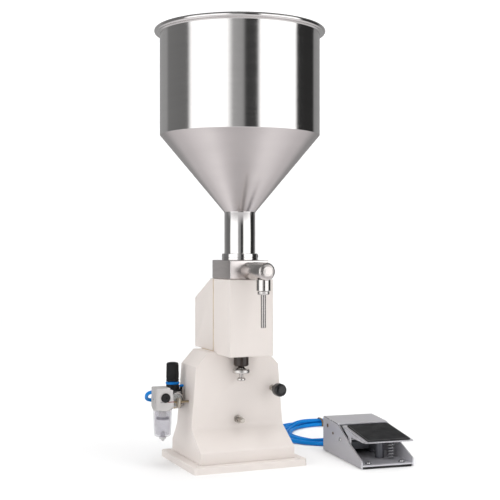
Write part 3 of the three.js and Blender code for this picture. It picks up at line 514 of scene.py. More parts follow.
def paint(me, index, test):
    """Puts faces whose centre (mm) and normal pass the test into material slot index."""
    for p in me.polygons:
        if test(p.center, p.normal):
            p.material_index = index
    return me


def piece(name, me, body, slot, mat, nodes=(), smooth=32, mats=None):
    keep = [p.material_index for p in me.polygons]
    me.transform(Matrix.Scale(K, 4))
    me.name = name
    me.materials.clear()
    ms = mats or [mat]
    for m in ms:
        me.materials.append(m)
    for p, k in zip(me.polygons, keep):
        p.material_index = min(k, len(ms) - 1)
    me.shade_smooth()
    me.set_sharp_from_angle(angle=math.radians(smooth))
    ob = bpy.data.objects.new(name, me)
    SCN.collection.objects.link(ob)
    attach(ob, body)
    if nodes:
        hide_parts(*nodes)
    return ob


def rod(r, z0, z1, seg=32, c=0.0):
    return lathe([[0, z0], [r - c, z0], [r, z0 + c], [r, z1 - c], [r - c, z1], [0, z1]] if c else [[0, z0], [r, z0], [r, z1], [0, z1]], seg)


def ring(ri, ro, z0, z1, seg=48, c=0.25):
    return lathe([[ri, z0 + c], [ri + c, z0], [ro - c, z0], [ro, z0 + c], [ro, z1 - c], [ro - c, z1], [ri + c, z1], [ri, z1 - c], [ri, z0 + c]], seg)


def hexa(af, z0, z1, hole=0, seg=48):
    rc = af / 2 / math.cos(PI / 6)
    ol = [(rc * math.cos((i + 0.5) * PI / 3), rc * math.sin((i + 0.5) * PI / 3)) for i in range(6)]
    me = prism(ol, "z", z0, z1)
    c = (rc - af / 2 * 0.97) * 0.6
    me = meet(me, lathe([[0, z0], [af / 2 * 0.97, z0], [rc + 0.1, z0 + c], [rc + 0.1, z1 - c], [af / 2 * 0.97, z1], [0, z1]], seg))
    if hole:
        me = cut(me, rod(hole, z0 - 1, z1 + 1, 32))
    return me


def screw(r, h, kind="hex"):
    """Screw head standing on z = 0, head up."""
    if kind == "hex":                       # socket button head
        me = lathe([[0, -0.2], [r, -0.2], [r, h * 0.35], [r * 0.86, h * 0.75], [r * 0.55, h], [0, h]], 32)
        return cut(me, hexa(r * 0.95, h * 0.35, h + 1))
    if kind == "rivet":
        return lathe([[0, -0.2], [r, -0.2], [r, 0.15], [r * 0.93, h * 0.45], [r * 0.72, h * 0.8], [r * 0.4, h * 0.97], [0, h]], 32)
    me = lathe([[0, -0.2], [r, -0.2], [r, h * 0.3], [r * 0.88, h * 0.72], [r * 0.6, h * 0.95], [0, h]], 32)
    if kind == "cross":
        w = r * 0.16
        return cut(me, box(-r * 0.55, r * 0.55, -w, w, h * 0.35, h + 1), box(-w, w, -r * 0.55, r * 0.55, h * 0.35, h + 1))
    return cut(me, box(-r - 1, r + 1, -r * 0.14, r * 0.14, h * 0.45, h + 1))


def threaded(r, z0, z1, pitch=1.0, depth=0.45, core=0.0, seg=40):
    """A run of thread as fine grooves, open list of [r, z]."""
    out, z = [], z0
    while z < z1 - 1e-6:
        out += [[r - depth, z], [r, min(z1, z + pitch * 0.45)], [r, min(z1, z + pitch * 0.55)]]
        z += pitch
    return out + [[r - depth, z1]]


CREAM_EDGE = material("cream_worn_edge", rgb(224, 217, 212), 0.34, spread=0.02, size=40, bump=0.08, grain=1500, rough_spread=0.08)
METAL_EDGE = material("bright_worn_edge", rgb(222, 219, 218), 0.2, metal=1, spread=0.05, size=60, bump=0.06, grain=600)
GREY_EDGE = material("grey_worn_edge", rgb(200, 200, 204), 0.26, metal=0.9, spread=0.05, size=60, bump=0.08, grain=900)
DARK_EDGE = material("dark_worn_edge", rgb(108, 109, 113), 0.34, metal=0.8, spread=0.08, size=60, bump=0.1, grain=900)
PLASTIC_EDGE = material("plastic_worn_edge", rgb(58, 58, 60), 0.28, spread=0.12, size=60, bump=0.1, grain=900)
RUBBER_EDGE = material("rubber_worn_edge", rgb(66, 66, 67), 0.6, spread=0.12, size=60, bump=0.25, grain=1200)
CAST_EDGE = material("cast_worn_edge", rgb(226, 224, 222), 0.3, metal=0.6, spread=0.05, size=60, bump=0.15, grain=900)
# painted shade: the ochre colour of the thin shadow lines where the parts of the head meet
OCHRE_SHADE_LINE = material("ochre_painted_shade_line", rgb(206, 188, 160), 0.7, spread=0.12, size=150, bump=0.3, grain=1200)
SPRING = material("spring_wire", rgb(196, 196, 198), 0.24, metal=1, spread=0.06, size=200, bump=0.1, grain=1200)
BRONZE = material("bronze_rivet", rgb(112, 92, 74), 0.32, metal=0.9, spread=0.12, size=300, bump=0.2, grain=1200)
SINTER = material("sintered_bronze", rgb(176, 142, 84), 0.6, metal=0.6, spread=0.25, size=900, bump=0.6, grain=2600)

# ------------------------------------------------------------------ base plate and lower body
BODY = dict(hxFoot=80.1, hxWaist=79.2, hxShoulder=71.4, hxTop=50.6, zFoot=29.1, zWaist=59.5, zShoulder=157.7, zTop=180.6, yFootF=-67.7, yF=-22.6, yB=49, yFootB=70.4)
HOP_Y, CYL_Y = -31.5, -37.2
me = prism(ringed([(-95.7, -83.6, 6), (95.7, -83.6, 6), (95.7, 83.6, 6), (-95.7, 83.6, 6)], 10), "z", 0, 10.8)
me = bevel(me, 1.0, 3, 60, sel=lambda e: all(v.co.z > 10 for v in e.verts), mat=1)
hole = lathe([[0, -1], [3.25, -1], [3.25, 9.8], [4.3, 10.85], [4.3, 12], [0, 12]], 36)
me = cut(me, *[move(hole.copy(), x, y) for x in (-85, 85) for y in (-72.5, 72.5)])
piece("base_plate_detail", me, "machine", "cream_paint", None, ("base_plate",), mats=[CREAM, CREAM_EDGE], smooth=28)


def side_outline(d, top, bot):
    B = BODY
    return ringed([(B["yFootF"] + d, bot), (B["yFootF"] + d, B["zFoot"] - d * 0.55, 1.5 if d else 3.4), (B["yF"] + d, B["zWaist"] - d * 0.55, 11), (B["yF"] + d, top),
                   (B["yB"] - d, top), (B["yB"] - d, B["zWaist"] - d * 0.55, 11), (B["yFootB"] - d, B["zFoot"] - d * 0.55, 1.5 if d else 3.4), (B["yFootB"] - d, bot)], 9)


def front_outline(d, top, bot):
    B = BODY
    return [(-B["hxFoot"] + d, bot), (B["hxFoot"] - d, bot), (B["hxFoot"] - d, B["zFoot"]), (B["hxWaist"] - d, B["zWaist"]), (B["hxShoulder"] - d, B["zShoulder"] - d * 0.4),
            (B["hxTop"] - d * 0.4, top), (-B["hxTop"] + d * 0.4, top), (-B["hxShoulder"] + d, B["zShoulder"] - d * 0.4), (-B["hxWaist"] + d, B["zWaist"]), (-B["hxFoot"] + d, B["zFoot"])]


outer = meet(prism(side_outline(0, 180.6, 11.1), "x", -90, 90), prism(front_outline(0, 180.6, 11.1), "y", -90, 90))
outer = bevel(outer, 0.9, 3, 24, sel=lambda e: any(v.co.z > 11.5 for v in e.verts), mat=1)
inner = meet(prism(side_outline(3, 174.9, 10.1), "x", -90, 90), prism(front_outline(3, 174.9, 10.1), "y", -90, 90))
me = cut(outer, inner, box(-37.1, 37.1, -30, -9.1, 177.4, 186),
         move(front(rod(3.6, 10, 40)), 60, 0, 119), move(front(rod(4.2, 10, 40)), 0, 0, 71.6), move(left(rod(2.4, 60, 90)), 0, 2, 101),
         box(-50, 50, 41, 50, 76, 146), move(rod(9, 172, 185), 0, 20, 0))
piece("lower_body_detail", me, "machine", "cream_paint", None, ("lower_body",), mats=[CREAM, CREAM_EDGE], smooth=28)

me = prism(ringed([(-57, 69, 4), (57, 69, 4), (57, 153, 4), (-57, 153, 4)], 6), "y", 49.3, 51.3)
me = bevel(me, 0.5, 2, 60, sel=lambda e: all(v.co.y > 51 for v in e.verts), mat=1)
me = cut(me, *[move(back(rod(5.2, 40, 60)), x, 0, z) for x, z in ((-22, 96), (22, 96), (0, 126))])
piece("rear_panel_detail", me, "machine", "cream_paint", None, ("rear_panel",), mats=[CREAM, CREAM_EDGE])
piece("rear_panel_screws", join(*[move(back(screw(3.4, 2.0, "cross")), x, 51.35, z) for x in (-52, 52) for z in (74, 148)]), "machine", "zinc_steel", ZINC)
sil = union(hexa(9.4, 0, 3.2), lathe([[0, 3], [4.3, 3], [4.3, 12.5, 1.2], [3.2, 14.2, 1.5], [0, 14.4]], 32))
piece("exhaust_silencer", move(back(sil), 0, 51.6, 126), "machine", "brass_fitting", None, mats=[SINTER])

# ------------------------------------------------------------------ head
me = box(-36.8, 36.8, -80.8, -9.4, 177.7, 298.3)
me = bevel(me, 1.2, 4, 60, sel=lambda e: all(abs(v.co.x) > 36.7 and v.co.y < -80 for v in e.verts), mat=1)
me = bevel(me, 0.6, 3, 60, sel=lambda e: all(v.co.z < 178 for v in e.verts) or all(v.co.z > 298.2 for v in e.verts), mat=1)
me = cut(me, box(-34.4, 34.4, -78.4, -8.4, 180.1, 295.9), move(rod(24.6, 293, 300, 64), 0, CYL_Y), move(rod(12.6, 175, 184, 48), 0, CYL_Y))
piece("head_front_cover_detail", me, "machine", "cream_paint", None, ("head_front_cover",), mats=[CREAM, CREAM_EDGE], smooth=28)


def casing(d):
    y0 = -11.4 if d else -8.8
    return [(y0, 180.9 + d), (83 - d, 180.9 + d, 3.0 if not d else 1.5), (83 - d, 264.2 - d * 0.6, 5 if not d else 3), (8.6 - d * 0.3, 298.3 - d, 5 if not d else 3), (y0, 298.3 - d)]


me = prism(ringed(casing(0), 6), "x", -35.4, 35.4)
me = bevel(me, 0.8, 3, 40, sel=lambda e: all(v.co.y > -8 for v in e.verts) or (abs(e.verts[0].co.x - e.verts[1].co.x) < 1e-3 and abs(e.verts[0].co.x) > 35.2 and abs(e.verts[0].co.y - e.verts[1].co.y) > 2), mat=1)
me = cut(me, prism(ringed(casing(2.4), 6), "x", -33.0, 33.0), move(rod(9, 178, 186), 0, 20))
piece("head_rear_casing_detail", me, "machine", "cream_paint", None, ("head_rear_casing",), mats=[CREAM, CREAM_EDGE], smooth=28)
# thin strip along the joint between cover and casing, coloured as the shade in that joint: painted shade
me = cut(box(-37.7, 37.7, -9.37, -8.83, 180.9, 297.9), box(-33.2, 33.2, -12, -6, 183.5, 295.6))
piece("head_seam_shade_line", me, "machine", "seal_rubber", OCHRE_SHADE_LINE)
# painted shadow: thin strip round the foot of the casing, coloured as the shadow line under the head's bottom edge
me = cut(bevel(box(-36.1, 36.1, -8.7, 48.9, 180.65, 181.4), 0.2, 1, 60), box(-35.5, 35.5, -20, 90, 180, 182))
piece("head_base_shade_line", me, "machine", "seal_rubber", OCHRE_SHADE_LINE)

me = union(box(-31.5, 31.5, -8.6, -3.6, 184, 295.3), prism(ringed([(-30, -66, 6), (30, -66, 6), (30, -5), (-30, -5)], 8), "z", 240.3, 248.3))
me = cut(bevel(me, 0.5, 2, 60, mat=1), move(rod(6.15, 230, 260), 0, CYL_Y))
piece("cylinder_bracket_detail", me, "machine", "zinc_steel", None, ("cylinder_bracket",), mats=[ZINC, METAL_EDGE])
piece("product_cylinder_detail", move(ring(21, 24, 248.6, 298.3, 96, 0.4), 0, CYL_Y), "machine", "satin_steel", TURNED, ("product_cylinder",))
piece("air_cylinder_detail", move(lathe([[6.15, 184.4], [23.4, 184.4], [24, 185], [24, 193.6], [23.5, 194], [23.5, 194.6], [24, 195], [24, 239.5], [23.5, 240], [21.5, 240], [21.5, 194.4], [6.15, 194.4], [6.15, 184.4]], 96), 0, CYL_Y), "machine", "cast_alloy", CAST_RAW, ("air_cylinder",))
piece("rod_bumper_detail", move(lathe([[6.15, 159.2], [6.5, 158.6], [10.2, 158.6, 1.2], [12.05, 160.1, 1.0], [12.05, 184.1], [6.15, 184.1], [6.15, 159.2]], 72), 0, CYL_Y), "machine", "black_plastic", BUMPER, ("rod_bumper",), smooth=40)

# ------------------------------------------------------------------ ram and stroke adjuster
low = threaded(3.5, 141.2, 158.2, 0.9, 0.22)
me = lathe([[0, 140.9]] + [[3.25, 140.9]] + low + [[3.5, 158.3], [6, 158.9], [6, 285.2], [5.8, 285.5], [4, 285.5], [4, 293.8], [0, 293.8]], 48)
piece("piston_rod_detail", move(me, 0, CYL_Y), "ram", "satin_steel", TURNED, ("piston_rod",), smooth=40)
T = 296.8
me = lathe([[4.3, T - 11], [20.2, T - 11], [20.7, T - 10.5], [20.7, T - 8.9], [18.6, T - 8.9], [18.6, T - 6.1], [20.7, T - 6.1], [20.7, T - 0.6], [20.1, T], [0, T], [0, T - 2.7], [4.3, T - 2.7], [4.3, T - 11]], 96)
piece("product_piston_detail", move(me, 0, CYL_Y), "ram", "satin_steel", TURNED, ("product_piston",))
piece("air_piston_detail", move(lathe([[6.3, 230.6], [20.7, 230.6], [21.2, 231.1], [21.2, 233.4], [20.3, 233.6], [20.3, 235.6], [21.2, 235.8], [21.2, 238.1], [20.7, 238.6], [6.3, 238.6], [6.3, 230.6]], 96), 0, CYL_Y), "ram", "cast_alloy", CAST_RAW, ("air_piston",))
piece("piston_seal_detail", move(lathe([[18.9, 288.2], [20.4, 288.2], [20.9, 288.7], [20.6, 289.3], [20.9, 289.9], [20.4, 290.4], [18.9, 290.4], [18.9, 288.2]], 96), 0, CYL_Y), "ram", "seal_rubber", SEAL, ("piston_seal",))
me = lathe([[0, 134.3], [3.0, 134.3], [5.3, 134.7, 1.5], [6.9, 136.0, 1.4], [7.1, 137.4, 1.0], [6.9, 138.8, 1.4], [5.5, 140.1, 1.4], [4.2, 140.6], [0, 140.6]], 64)
piece("rod_end_bolt_detail", move(cut(me, hexa(4.6, 130, 136.4)), 0, CYL_Y), "ram", "satin_steel", TURNED, ("rod_end_bolt",), smooth=50)
me = lathe([[3.65, 152.9], [13.3, 152.9], [13.6, 153.1], [13.6, 153.5], [13.3, 153.8], [10.4, 154.2, 6], [7.2, 155.1, 5], [5.5, 156.5, 4], [4.8, 158.2], [3.65, 158.2], [3.65, 152.9]], 96)
piece("stop_cone_detail", move(me, 0, CYL_Y), "stop", "satin_steel", TURNED, ("stop_cone",), smooth=50)
me = lathe([[3.65, 147.4], [13.0, 147.4], [13.8, 148.2], [13.8, 152.0], [13.2, 152.6], [3.65, 152.6], [3.65, 147.4]], 240, ridge=lambda i, n, r, z: r - (0.0, 0.12, 0.2, 0.12)[i % 4] if r > 13.5 else r)
piece("adjusting_wheel_detail", move(me, 0, CYL_Y), "wheel", "satin_steel", TURNED, ("adjusting_wheel",), smooth=50)

# ------------------------------------------------------------------ valve block, balls, spout
me = bevel(box(-32.4, 32.4, -71.7, 7.9, 298.6, 328.4), 0.9, 3, 60, mat=1)
chamber = move(lathe([[0, 301.2], [6.5, 301.2], [11, 305.6], [11, 315.6], [7, 318.6], [7, 323], [19, 329.4], [0, 329.4]], 72), 0, HOP_Y)
webs = [move(rod(3, 296, 307.6), 7.4 * math.cos((i + 0.5) * PI / 2), HOP_Y + 7.4 * math.sin((i + 0.5) * PI / 2)) for i in range(4)]
me = cut(me, chamber, *webs, move(front(rod(6.2, 38, 76, 40)), 0, 0, 311.2))
piece("valve_block_detail", me, "machine", "satin_steel", None, ("valve_block",), mats=[MACHINED, METAL_EDGE])


def ball(r, n=24, seg=48):
    return lathe([[r * math.cos(-PI / 2 + PI * i / n) if 0 < i < n else 0, r * math.sin(-PI / 2 + PI * i / n)] for i in range(n + 1)], seg)


piece("inlet_ball_detail", move(ball(8.3), 0, HOP_Y, 309.8), "inlet_check", "satin_steel", TURNED, ("inlet_ball",), smooth=60)
piece("outlet_ball_detail", move(ball(7.6), 0, -82.8, 312.4), "outlet_check", "satin_steel", TURNED, ("outlet_ball",), smooth=60)
pts = [(6.6 * math.cos(a), -88.4 - 32.2 * i / 300, 312.4 + 6.6 * math.sin(a)) for i in range(301) for a in [i / 300 * 10 * PI]]
piece("outlet_spring_detail", tube_along(pts, 0.68, 10), "outlet_check", "spring_steel", SPRING, ("outlet_spring",), smooth=60)
SR, SZ = 13.7, 312.4
prof = [[0, 72], [SR - 0.4, 72], [SR, 72.4], [SR, 138.6], [13.45, 139.2], [12.9, 140.2, 0.5], [11, 141.4, 3], [7.5, 142.7, 5], [3.5, 143.3, 4], [0, 143.4]]
me = cut(move(front(lathe(prof, 128)), 0, 0, SZ),
         move(front(lathe([[0, 71], [6.2, 71], [6.2, 78], [9.4, 81.4], [9.4, 128], [0, 128]], 64)), 0, 0, SZ),
         move(rod(5.2, SZ - 20, SZ, 48), 0, -126.4), move(rod(11.35, SZ - 20, SZ - 12.4, 64), 0, -126.4))
piece("spout_body_detail", me, "machine", "polished_steel", SPOUT, ("spout_body",), smooth=30)
me = lathe([[5.2, 282.9], [5.5, 282.6], [10.5, 282.6], [11, 283.1], [11, 299.7], [5.2, 299.7], [5.2, 282.9]], 96)
piece("outlet_body_detail", move(me, 0, -126.4), "machine", "polished_steel", TURNED, ("outlet_body",), smooth=30)
me = lathe([[4.3, 277], [8.4, 277], [9.15, 277.8], [9.15, 281.4], [8.6, 282.2], [4.3, 282.2], [4.3, 277]], 144, ridge=lambda i, n, r, z: r - (0.0, 0.22, 0.3, 0.22)[i % 4] if r > 8.9 else r)
piece("outlet_nut_detail", move(me, 0, -126.4), "machine", "polished_steel", TURNED, ("outlet_nut",), smooth=50)
piece("discharge_tube_detail", move(ring(3.1, 4.0, 226.3, 292, 64, 0.3), 0, -126.4), "machine", "satin_steel", TUBE, ("discharge_tube",))

# ------------------------------------------------------------------ hopper
rN, rD, zN, zC0, zC1, zR, th_ = 24.8, 128.1, 329.2, 404.9, 528.3, 694.0, 1.5
bead = [[133.4 + 3.6 * math.cos(a), zR + 3.6 * math.sin(a)] for a in [math.radians(-108 + 296 * i / 26) for i in range(27)]]
wall = [[rD, zC1 - 0.1, 1.2]] + [[rD, z] for z in (536, 560, 600, 640, 680)] + [[rD, zR - 4.6, 1.6]]
prof = [[rN - th_, zN], [rN, zN], [rN, 337], [rN + 0.35, 338.0], [rN, 339.2], [rN, zC0 - 0.9], [rN + 0.45, zC0 - 0.2], [rN + 0.4, zC0 + 0.6]]
slope = (rD - rN) / (zC1 - zC0)
prof += [[rN + slope * (z - zC0), z] for z in (407, 430, 460, 490, 515, 526.5)]
prof += wall + [[131.2, zR - 3.3, 1.0]] + bead + [[129.2, zR - 0.6], [127.6, zR + 0.6], [rD - th_, zR - 0.4], [rD - th_, zC1 + 0.5, 5], [rN - th_, zC0 + 0.5, 5], [rN - th_, zN]]
me = move(lathe(prof, 200), 0, HOP_Y)
me = paint(me, 1, lambda c, n: 405.5 < c.z < zC1 - 1)
piece("hopper_detail", me, "machine", "polished_steel", None, ("hopper",), mats=[POLISHED, SATIN_CONE], smooth=45)
me = lathe([[25.1, 329], [25.4, 328.7], [28.4, 328.7], [28.9, 329.2], [28.9, 332.2], [28.55, 332.5], [28.55, 332.9], [28.9, 333.2], [28.9, 338.3], [28.3, 338.9], [25.5, 338.9], [25.1, 338.5], [25.1, 329]], 128)
grub = turn(turn(rod(2.0, 26, 32, 24), 90, "Y"), -28, "Z")
me = cut(move(me, 0, HOP_Y), move(grub, 0, HOP_Y, 334.6))
piece("hopper_collar_detail", me, "machine", "polished_steel", POLISHED, ("hopper_collar",), smooth=30)
g = cut(rod(1.85, 26.2, 29.6, 24, 0.2), hexa(1.9, 28.6, 31))
piece("collar_grub_screw", move(turn(turn(g, 90, "Y"), -28, "Z"), 0, HOP_Y, 334.6), "machine", "spring_steel", DARK_ALLOY)

# ------------------------------------------------------------------ front controls
me = union(hexa(8.6, 22.9, 27.2, 3.4), lathe([[3.4, 27.0], [5.1, 27.0], [5.1, 32.5], [4.7, 33.1], [3.8, 33.1], [3.4, 32.7], [3.4, 27.0]], 48))
piece("selector_nut_detail", move(front(me), 60, 0, 119), "machine", "zinc_steel", ZINC, ("selector_nut",))
me = union(hexa(12, 22.9, 27.8, 2.6), lathe([[2.6, 27.5], [4.6, 27.5], [4.6, 29.8], [4.2, 30.2], [2.6, 30.2], [2.6, 27.5]], 40))
piece("throttle_nut_detail", move(front(me), 0, 0, 71.6), "machine", "zinc_steel", ZINC, ("throttle_nut",))
me = lathe([[0, 6], [3, 6], [3, 43.4], [5.5, 43.4], [6, 43.9], [6, 46.4], [9.4, 46.4, 0.8], [10.5, 47.5, 1.0], [10.5, 56.6, 2.2], [10.0, 58.9, 1.5], [8.3, 60.5, 2], [5, 61.6, 3], [0, 62.1]], 96)
piece("selector_knob_detail", move(front(me), 60, 0, 119), "selector", "black_gloss", GLOSS, ("selector_knob",), smooth=60)
me = lathe([[0, 8], [2.2, 8]] + threaded(2.2, 9, 30.6, 0.8, 0.2) + [[3.6, 30.9], [3.9, 31.3], [3.9, 44.0], [3.2, 44.9], [0, 44.9]], 40)
me = cut(me, box(-5, 5, -0.55, 0.55, 43.3, 46))
piece("throttle_screw_detail", move(front(me), 0, 0, 71.6), "throttle", "zinc_steel", ZINC, ("throttle_screw",))
v = union(box(-30, 30, -6, 18, 84, 112), box(-36, -29, -3, 15, 88, 108), box(29, 36, -3, 15, 88, 108))
v = union(bevel(v, 0.6, 2, 60, mat=1), *[move(back(rod(4.6, 17, 24)), x, 0, 98) for x in (-12, 12)])
piece("control_valve_detail", v, "machine", "cast_alloy", None, ("control_valve",), mats=[CAST_RAW, CAST_EDGE])

# ------------------------------------------------------------------ air preparation unit
FX, FY, RX, RY, NZ, NY = -122.9, -9.1, -92.4, 32.6, 101, 2
wall_ = prism([(18.5, 91), (48, 91), (48, 117), (27, 117), (24, 122), (18.5, 122)], "x", -80.6, -78.6)
me = bevel(union(wall_, box(-80.6, -77.4, 21, 46, 96, 108)), 0.35, 2, 60, mat=1)
piece("unit_bracket_detail", me, "machine", "zinc_steel", None, ("unit_bracket",), mats=[ZINC, METAL_EDGE])
piece("unit_bracket_screws", join(*[move(left(screw(1.8, 1.4)), -80.6, y, z) for y, z in ((46, 94.2), (46, 113.4))]), "machine", "zinc_steel", ZINC)


def square(h, r): return ringed([(-h, -h, r), (h, -h, r), (h, h, r), (-h, h, r)], 7)


plan = prism(square(14.7, 2.5), "z", 91, 128)
face_ = prism([(-14.7, 91.6), (14.7, 91.6), (14.7, 106), (12.6, 110), (12.4, 123.9), (7.8, 123.9), (7.8, 127.5), (-13.9, 127.5), (-14, 114), (-14.7, 110)], "y", -16, 16)
rnd = lathe([[0, 91.6], [14.6, 91.6], [20.8, 99.5], [20.8, 129], [0, 129]], 96)
head = bevel(meet(meet(plan, face_), rnd), 0.45, 2, 40, mat=1)
port = bevel(box(-6.5, 4.5, 14, 21.5, 112.8, 122.8), 0.4, 2, 60)
boss = move(left(ring(1.9, 4.2, 5, 7.8, 32)), 0, 18.2, 118)
me = cut(union(head, port, boss), rod(11.6, 84, 99.6, 64),
         move(left(lathe([[0, 12.5], [1.6, 12.5], [2.0, 15.4], [0, 15.4]], 28)), 0, -7.5, 108.4), move(left(lathe([[0, 12.5], [1.6, 12.5], [2.0, 15.4], [0, 15.4]], 28)), 0, 3, 108.4),
         move(front(rod(7.9, 13.5, 16, 64)), 0, 0, 112.4), move(left(rod(2.3, -16, -7)), 0, NY - FY, NZ),
         box(-16, 16, -15.5, -14.25, 105.4, 105.95), box(-15.5, -14.25, -16, 16, 105.4, 105.95))
piece("filter_head_detail", move(me, FX, FY), "machine", "cast_alloy", None, ("filter_head",), mats=[CAST, CAST_EDGE], smooth=30)
piece("filter_head_mark", move(bevel(box(4.0, 14.2, -14.84, -14.3, 104.8, 106.2), 0.15, 1, 60), FX, FY), "machine", "black_plastic", RED)
piece("filter_head_line", move(bevel(box(-8.0, 3.6, -14.8, -14.3, 105.0, 106.0), 0.12, 1, 60), FX, FY), "machine", "black_plastic", DARK_ALLOY)
piece("filter_head_plugs", move(join(*[move(left(lathe([[0, 12.6], [1.2, 12.6], [1.45, 14.3, 0.2], [0, 14.4]], 28)), 0, y, 108.4) for y in (-7.5, 3)]), FX, FY), "machine", "black_plastic", PLASTIC)
me = lathe([[0, 13.8], [7.2, 13.8], [7.5, 14.1], [7.5, 17.2, 0.5], [6.4, 18.4, 0.4], [5.2, 18.4], [4.9, 18.1], [0, 18.1]], 64)
me = cut(me, hexa(4.6, 17.0, 19.5))
piece("filter_plug_detail", move(front(me), FX, FY, 112.4), "machine", "black_plastic", PLASTIC, ("filter_plug",))
thread = lathe([[0, 72.5]] + threaded(1.9, 72.6, 114.3, 0.8, 0.16) + [[0, 114.5]], 32)
block = lathe([[0, 92.2], [3.1, 92.2], [4.1, 93.4], [4.1, 106.3], [3.1, 107.5], [0, 107.5]], 48)
me = union(move(left(thread), 0, NY, NZ), move(block, -92.5, NY, 0))
me = paint(me, 1, lambda c, n: abs(c.x + 92.5) < 4.2 and (abs(c.z - NZ) > 2.3 or abs(c.y - NY) > 2.3))
piece("filter_nipple_detail", me, "machine", "brass_fitting", None, ("filter_nipple",), mats=[DULL_BRASS, FITTING], smooth=40)
me = lathe([[4, 50.8], [4.5, 50.2], [10.6, 50.2, 1.6], [13.1, 52.0, 3.0], [13.6, 58, 6], [14.0, 66, 8], [14.6, 82, 6], [14.9, 88], [14.9, 91.2], [11.3, 91.2], [11.3, 98.6], [9.3, 98.6], [9.3, 89.6], [12.6, 89.2, 2], [12.2, 76, 4], [11.9, 66, 6], [11.2, 55, 4], [9.5, 52.8, 2], [4, 52.6], [4, 50.8]], 96)
piece("filter_bowl_detail", move(me, FX, FY), "machine", "clear_bowl", BOWL, ("filter_bowl",), smooth=60)
me = lathe([[0, 80.7], [6.3, 80.7], [6.6, 81], [6.6, 95.5], [6.3, 95.8], [2.2, 95.8], [2, 96.1], [2, 99.2], [0, 99.2]], 96, ridge=lambda i, n, r, z: r - (0.0, 0.08, 0.12, 0.08)[i % 4] if r > 6.4 else r)
piece("filter_element_detail", move(me, FX, FY), "machine", "white_plastic", WHITE, ("filter_element",), smooth=50)
me = lathe([[0, 76.9], [9.8, 76.9], [10.3, 77.4], [10.3, 79.9], [9.7, 80.6], [0, 80.6]], 96, ridge=lambda i, n, r, z: r - (0.3 if i % 8 < 3 else 0.0) if r > 9.5 else r)
piece("filter_baffle_disc", move(me, FX, FY), "machine", "black_plastic", PLASTIC, ("filter_element",), smooth=50)
me = lathe([[0, 42.4], [1.1, 42.4], [1.4, 42.8], [1.4, 43.6], [3.0, 43.6], [3.3, 45.4, 0.5], [5.4, 46.4, 0.6], [5.6, 47.0], [5.6, 49.2, 0.4], [5.0, 49.8], [3.6, 49.8], [3.6, 57.3], [3.3, 57.6], [0, 57.6]], 96, ridge=lambda i, n, r, z: r - (0.0, 0.0, 0.35, 0.35)[i % 4] if 5.2 < r and 46.6 < z < 49.4 else r)
piece("drain_screw_detail", move(me, FX, FY), "drain", "cast_alloy", DRAIN, ("drain_screw",), smooth=40)

body = bevel(union(prism(square(11.4, 2.5), "z", 87.2, 112), prism(square(11.4, 2.5), "z", 111.8, 114.6)), 0.6, 3, 60, mat=1)
me = cut(union(body, move(left(ring(1.9, 4.2, 11, 23.6, 36)), 0, 1, 101.5)), move(front(rod(3.7, 8.2, 13)), -0.9, 0, 103), rod(8.6, 106, 120, 48), box(-12, 12, -12, -11.1, 99.9, 100.4) )
piece("regulator_body_detail", move(me, RX, RY), "machine", "cast_alloy", None, ("regulator_body",), mats=[CAST, CAST_EDGE], smooth=30)
piece("regulator_body_plug", move(move(front(lathe([[0, 11.2], [4.2, 11.2], [4.6, 11.5], [4.6, 12.1], [4.2, 12.5], [0, 12.5]], 40)), -0.0, 0, 92.2), RX, RY), "machine", "black_plastic", DULL_BRASS)
base = bevel(prism(square(11.2, 3), "z", 114.9, 118), 0.5, 2, 60)
me = union(base, lathe([[0, 112.5], [8.2, 112.5], [8.2, 117.2], [11.0, 117.8], [11.6, 118.4], [11.4, 120.5, 1.5], [10.3, 124.2, 2], [10.2, 125.9], [0, 125.9]], 96))
piece("regulator_bonnet_detail", move(me, RX, RY), "machine", "black_plastic", PLASTIC, ("regulator_bonnet",), smooth=45)
me = lathe([[0, 126.0], [10.7, 126.0], [11.2, 126.5], [11.2, 129.4], [10.7, 129.9], [6, 129.9], [6, 133.7], [5.7, 134], [0, 134]], 96)
piece("regulator_lock_ring", move(me, RX, RY), "machine", "blue_hose", BLUE, ("regulator_bonnet",), smooth=45)
me = lathe([[6.4, 134.4], [6.4, 131.0], [9.9, 131.0], [10.4, 131.6], [10.35, 134.0], [9.95, 134.4], [9.95, 135.2], [10.35, 135.6], [10.2, 146], [9.9, 157.4, 0.8], [9.7, 159.2, 0.8], [8.4, 161.0, 1.5], [6.0, 161.5], [5.6, 161.1], [0, 161.1], [0, 134.4], [6.4, 134.4]], 144,
           ridge=lambda i, n, r, z: r - (0.0, 0.0, 0.38, 0.38)[i % 4] if r > 9.6 and 135.4 < z < 158 else r)
piece("regulator_knob_detail", move(me, RX, RY), "regulator_cap", "black_plastic", PLASTIC, ("regulator_knob",), smooth=40)
# gauge
GX, GZ = RX - 0.9, 103.0
me = lathe([[0, 8.6], [2.9, 8.6], [2.9, 13.4], [9.4, 13.4, 0.5], [12.1, 15.5, 0.8], [12.1, 22.2], [11.8, 22.5], [11.8, 22.8], [12.1, 23.1], [12.05, 23.8, 0.3], [11.3, 24.4], [10.9, 24.4], [10.4, 23.9], [10.4, 19.8], [0, 19.8]], 96)
me = paint(me, 1, lambda c, n: c.z > 22.2 and (c.x ** 2 + c.y ** 2) ** 0.5 > 10.3)
piece("gauge_case_detail", move(front(me), GX, RY, GZ), "machine", "black_plastic", None, ("gauge_case",), mats=[PLASTIC, TURNED], smooth=40)
bm_dial = lathe([[0, 19.85], [10.3, 19.85], [10.3, 20.2], [10.1, 20.35], [0, 20.35]], 72)
piece("gauge_dial", move(front(bm_dial), GX, RY, GZ), "machine", "white_plastic", DIAL)
marks = []
for i in range(21):
    a = math.radians(225 - 270 * i / 20)
    L_ = 1.9 if i % 4 == 0 else 1.1
    m = box(9.1 - L_, 9.1, -0.14 if i % 4 else -0.22, 0.14 if i % 4 else 0.22, 20.3, 20.45)
    marks.append(turn(m, math.degrees(a), "Z"))
